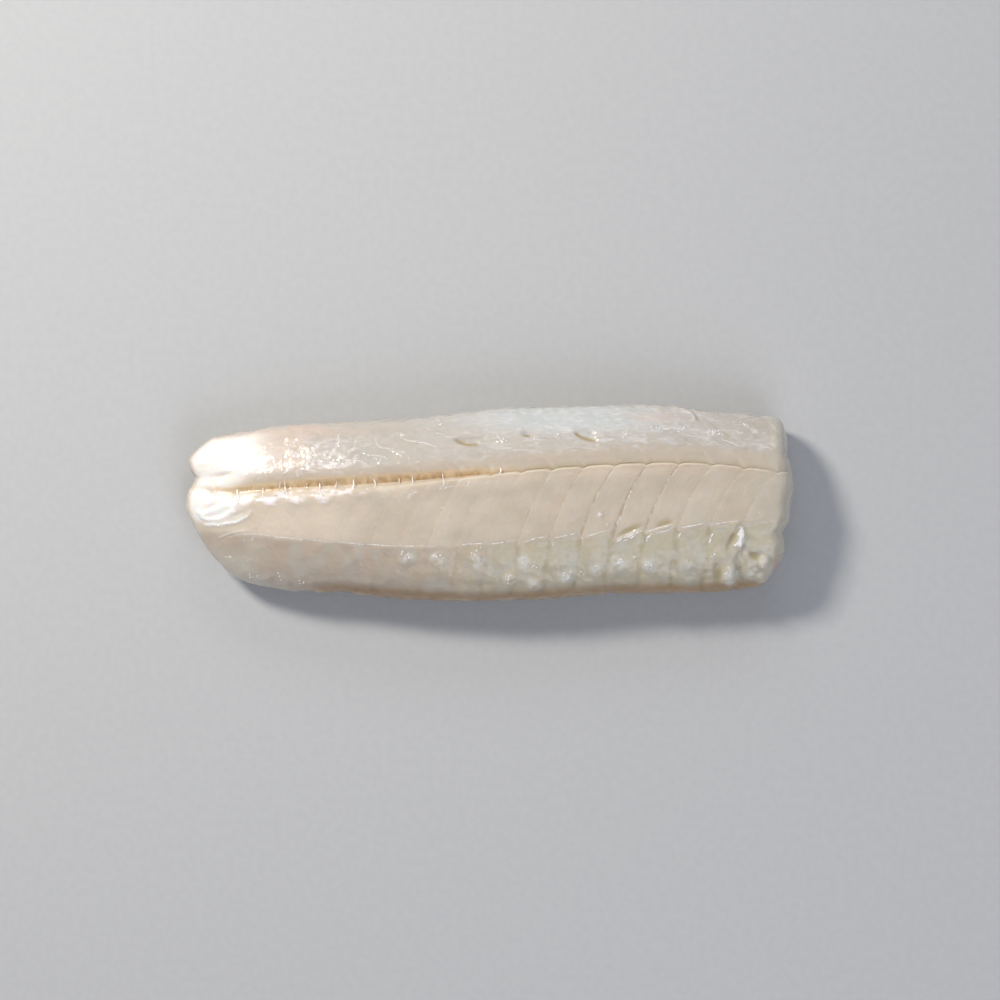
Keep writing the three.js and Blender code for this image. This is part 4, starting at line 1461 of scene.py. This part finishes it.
# ------------------------------------------------------------------ Floor, lights, camera
@dataclass(frozen=True)
class Photograph:
    """The photograph's frame: how large a pixel is and where the loin's middle lies."""

    pixels: int = 1000
    mm_per_pixel: float = 0.385
    loin_middle: Plan = (489.2, 503.1)
    widest_level: float = 14.0
    distance: float = 1500.0
    sensor: float = 36.0
    clip_end: float = 10.0

    def build(self) -> None:
        """Makes the camera, which looks straight down."""
        data = bpy.data.cameras.new("camera")
        data.sensor_width = self.sensor
        wide = self.pixels * self.mm_per_pixel
        data.lens = self.sensor * (self.distance - self.widest_level) / wide
        data.clip_end = self.clip_end
        camera = add_object("camera", data)
        middle = self.pixels / 2
        camera.location = (
            (middle - self.loin_middle[0]) * self.mm_per_pixel * MM,
            (self.loin_middle[1] - middle) * self.mm_per_pixel * MM,
            self.distance * MM,
        )
        bpy.context.scene.camera = camera


@dataclass(frozen=True)
class Softbox:
    """One soft studio light that points at the loin."""

    name: str
    place: tuple[float, float, float]
    size: Plan
    power: float
    colour: str

    def build(self) -> None:
        """Makes the light."""
        data = bpy.data.lights.new(self.name, "AREA")
        data.shape = "RECTANGLE"
        data.size, data.size_y = self.size
        data.energy = self.power
        data.color = linear(self.colour)[:3]
        light = add_object(self.name, data)
        light.location = self.place
        light.rotation_euler = (-Vector(self.place)).to_track_quat("-Z", "Y").to_euler()


@dataclass(frozen=True)
class StudioPaper:
    """Matt pale grey paper, with the faint mottling of its pulp."""

    base: str = "#bcbec1"
    tints: tuple[Tint, ...] = (tint("#bfc1c3", 1.0, Gate(Cloud((3, 3, 3)), 0.3, 0.7)),)

    def material(self) -> bpy.types.Material:
        """Returns the finish as a material."""
        p = Palette("studio_paper")
        return p.finish({"Base Color": p.colour(self.base, self.tints), "Roughness": 0.9})


@dataclass(frozen=True)
class Studio:
    """A plain pale floor under soft light from the upper left of the photograph."""

    boxes: tuple[Softbox, ...] = (
        Softbox("key", (-0.65, 0.60, 0.81), (0.23, 0.23), 12.2, "#fff8ee"),
        Softbox("fill", (0.45, -0.85, 0.85), (0.9, 0.9), 6.0, "#f4f5ff"),
        Softbox("rim", (0.1, 0.95, 0.6), (0.8, 0.3), 2.2, "#f4f7ff"),
    )
    half_floor: float = 3.0
    floor_gap: float = 0.2
    air: str = "#e6ebf2"
    air_strength: float = 0.26

    def build(self) -> None:
        """Makes the floor, the lights and the world's even light."""
        sheet = bmesh.new()
        bmesh.ops.create_grid(sheet, x_segments=1, y_segments=1, size=self.half_floor)
        mesh = bpy.data.meshes.new("floor")
        sheet.to_mesh(mesh)
        sheet.free()
        mesh.materials.append(StudioPaper().material())
        floor = add_object("floor", mesh)
        floor.location.z = -self.floor_gap * MM
        for box in self.boxes:
            box.build()
        world = bpy.data.worlds.new("studio")
        world.use_nodes = True
        background = world.node_tree.nodes["Background"]
        background.inputs["Color"].default_value = linear(self.air)
        background.inputs["Strength"].default_value = self.air_strength
        bpy.context.scene.world = world
        bpy.context.scene.view_settings.view_transform = "Standard"


def main() -> None:
    """Builds the loin and its studio."""
    logging.basicConfig(level=logging.INFO, format="%(name)s %(message)s")
    Photograph().build()
    flesh = LoinFlesh()
    body = flesh.build(RawFlesh().material())
    TissueAndGlints(flesh).build(body, MembraneAndGlintWhite().material())
    Studio().build()


if __name__ == "__main__":
    main()
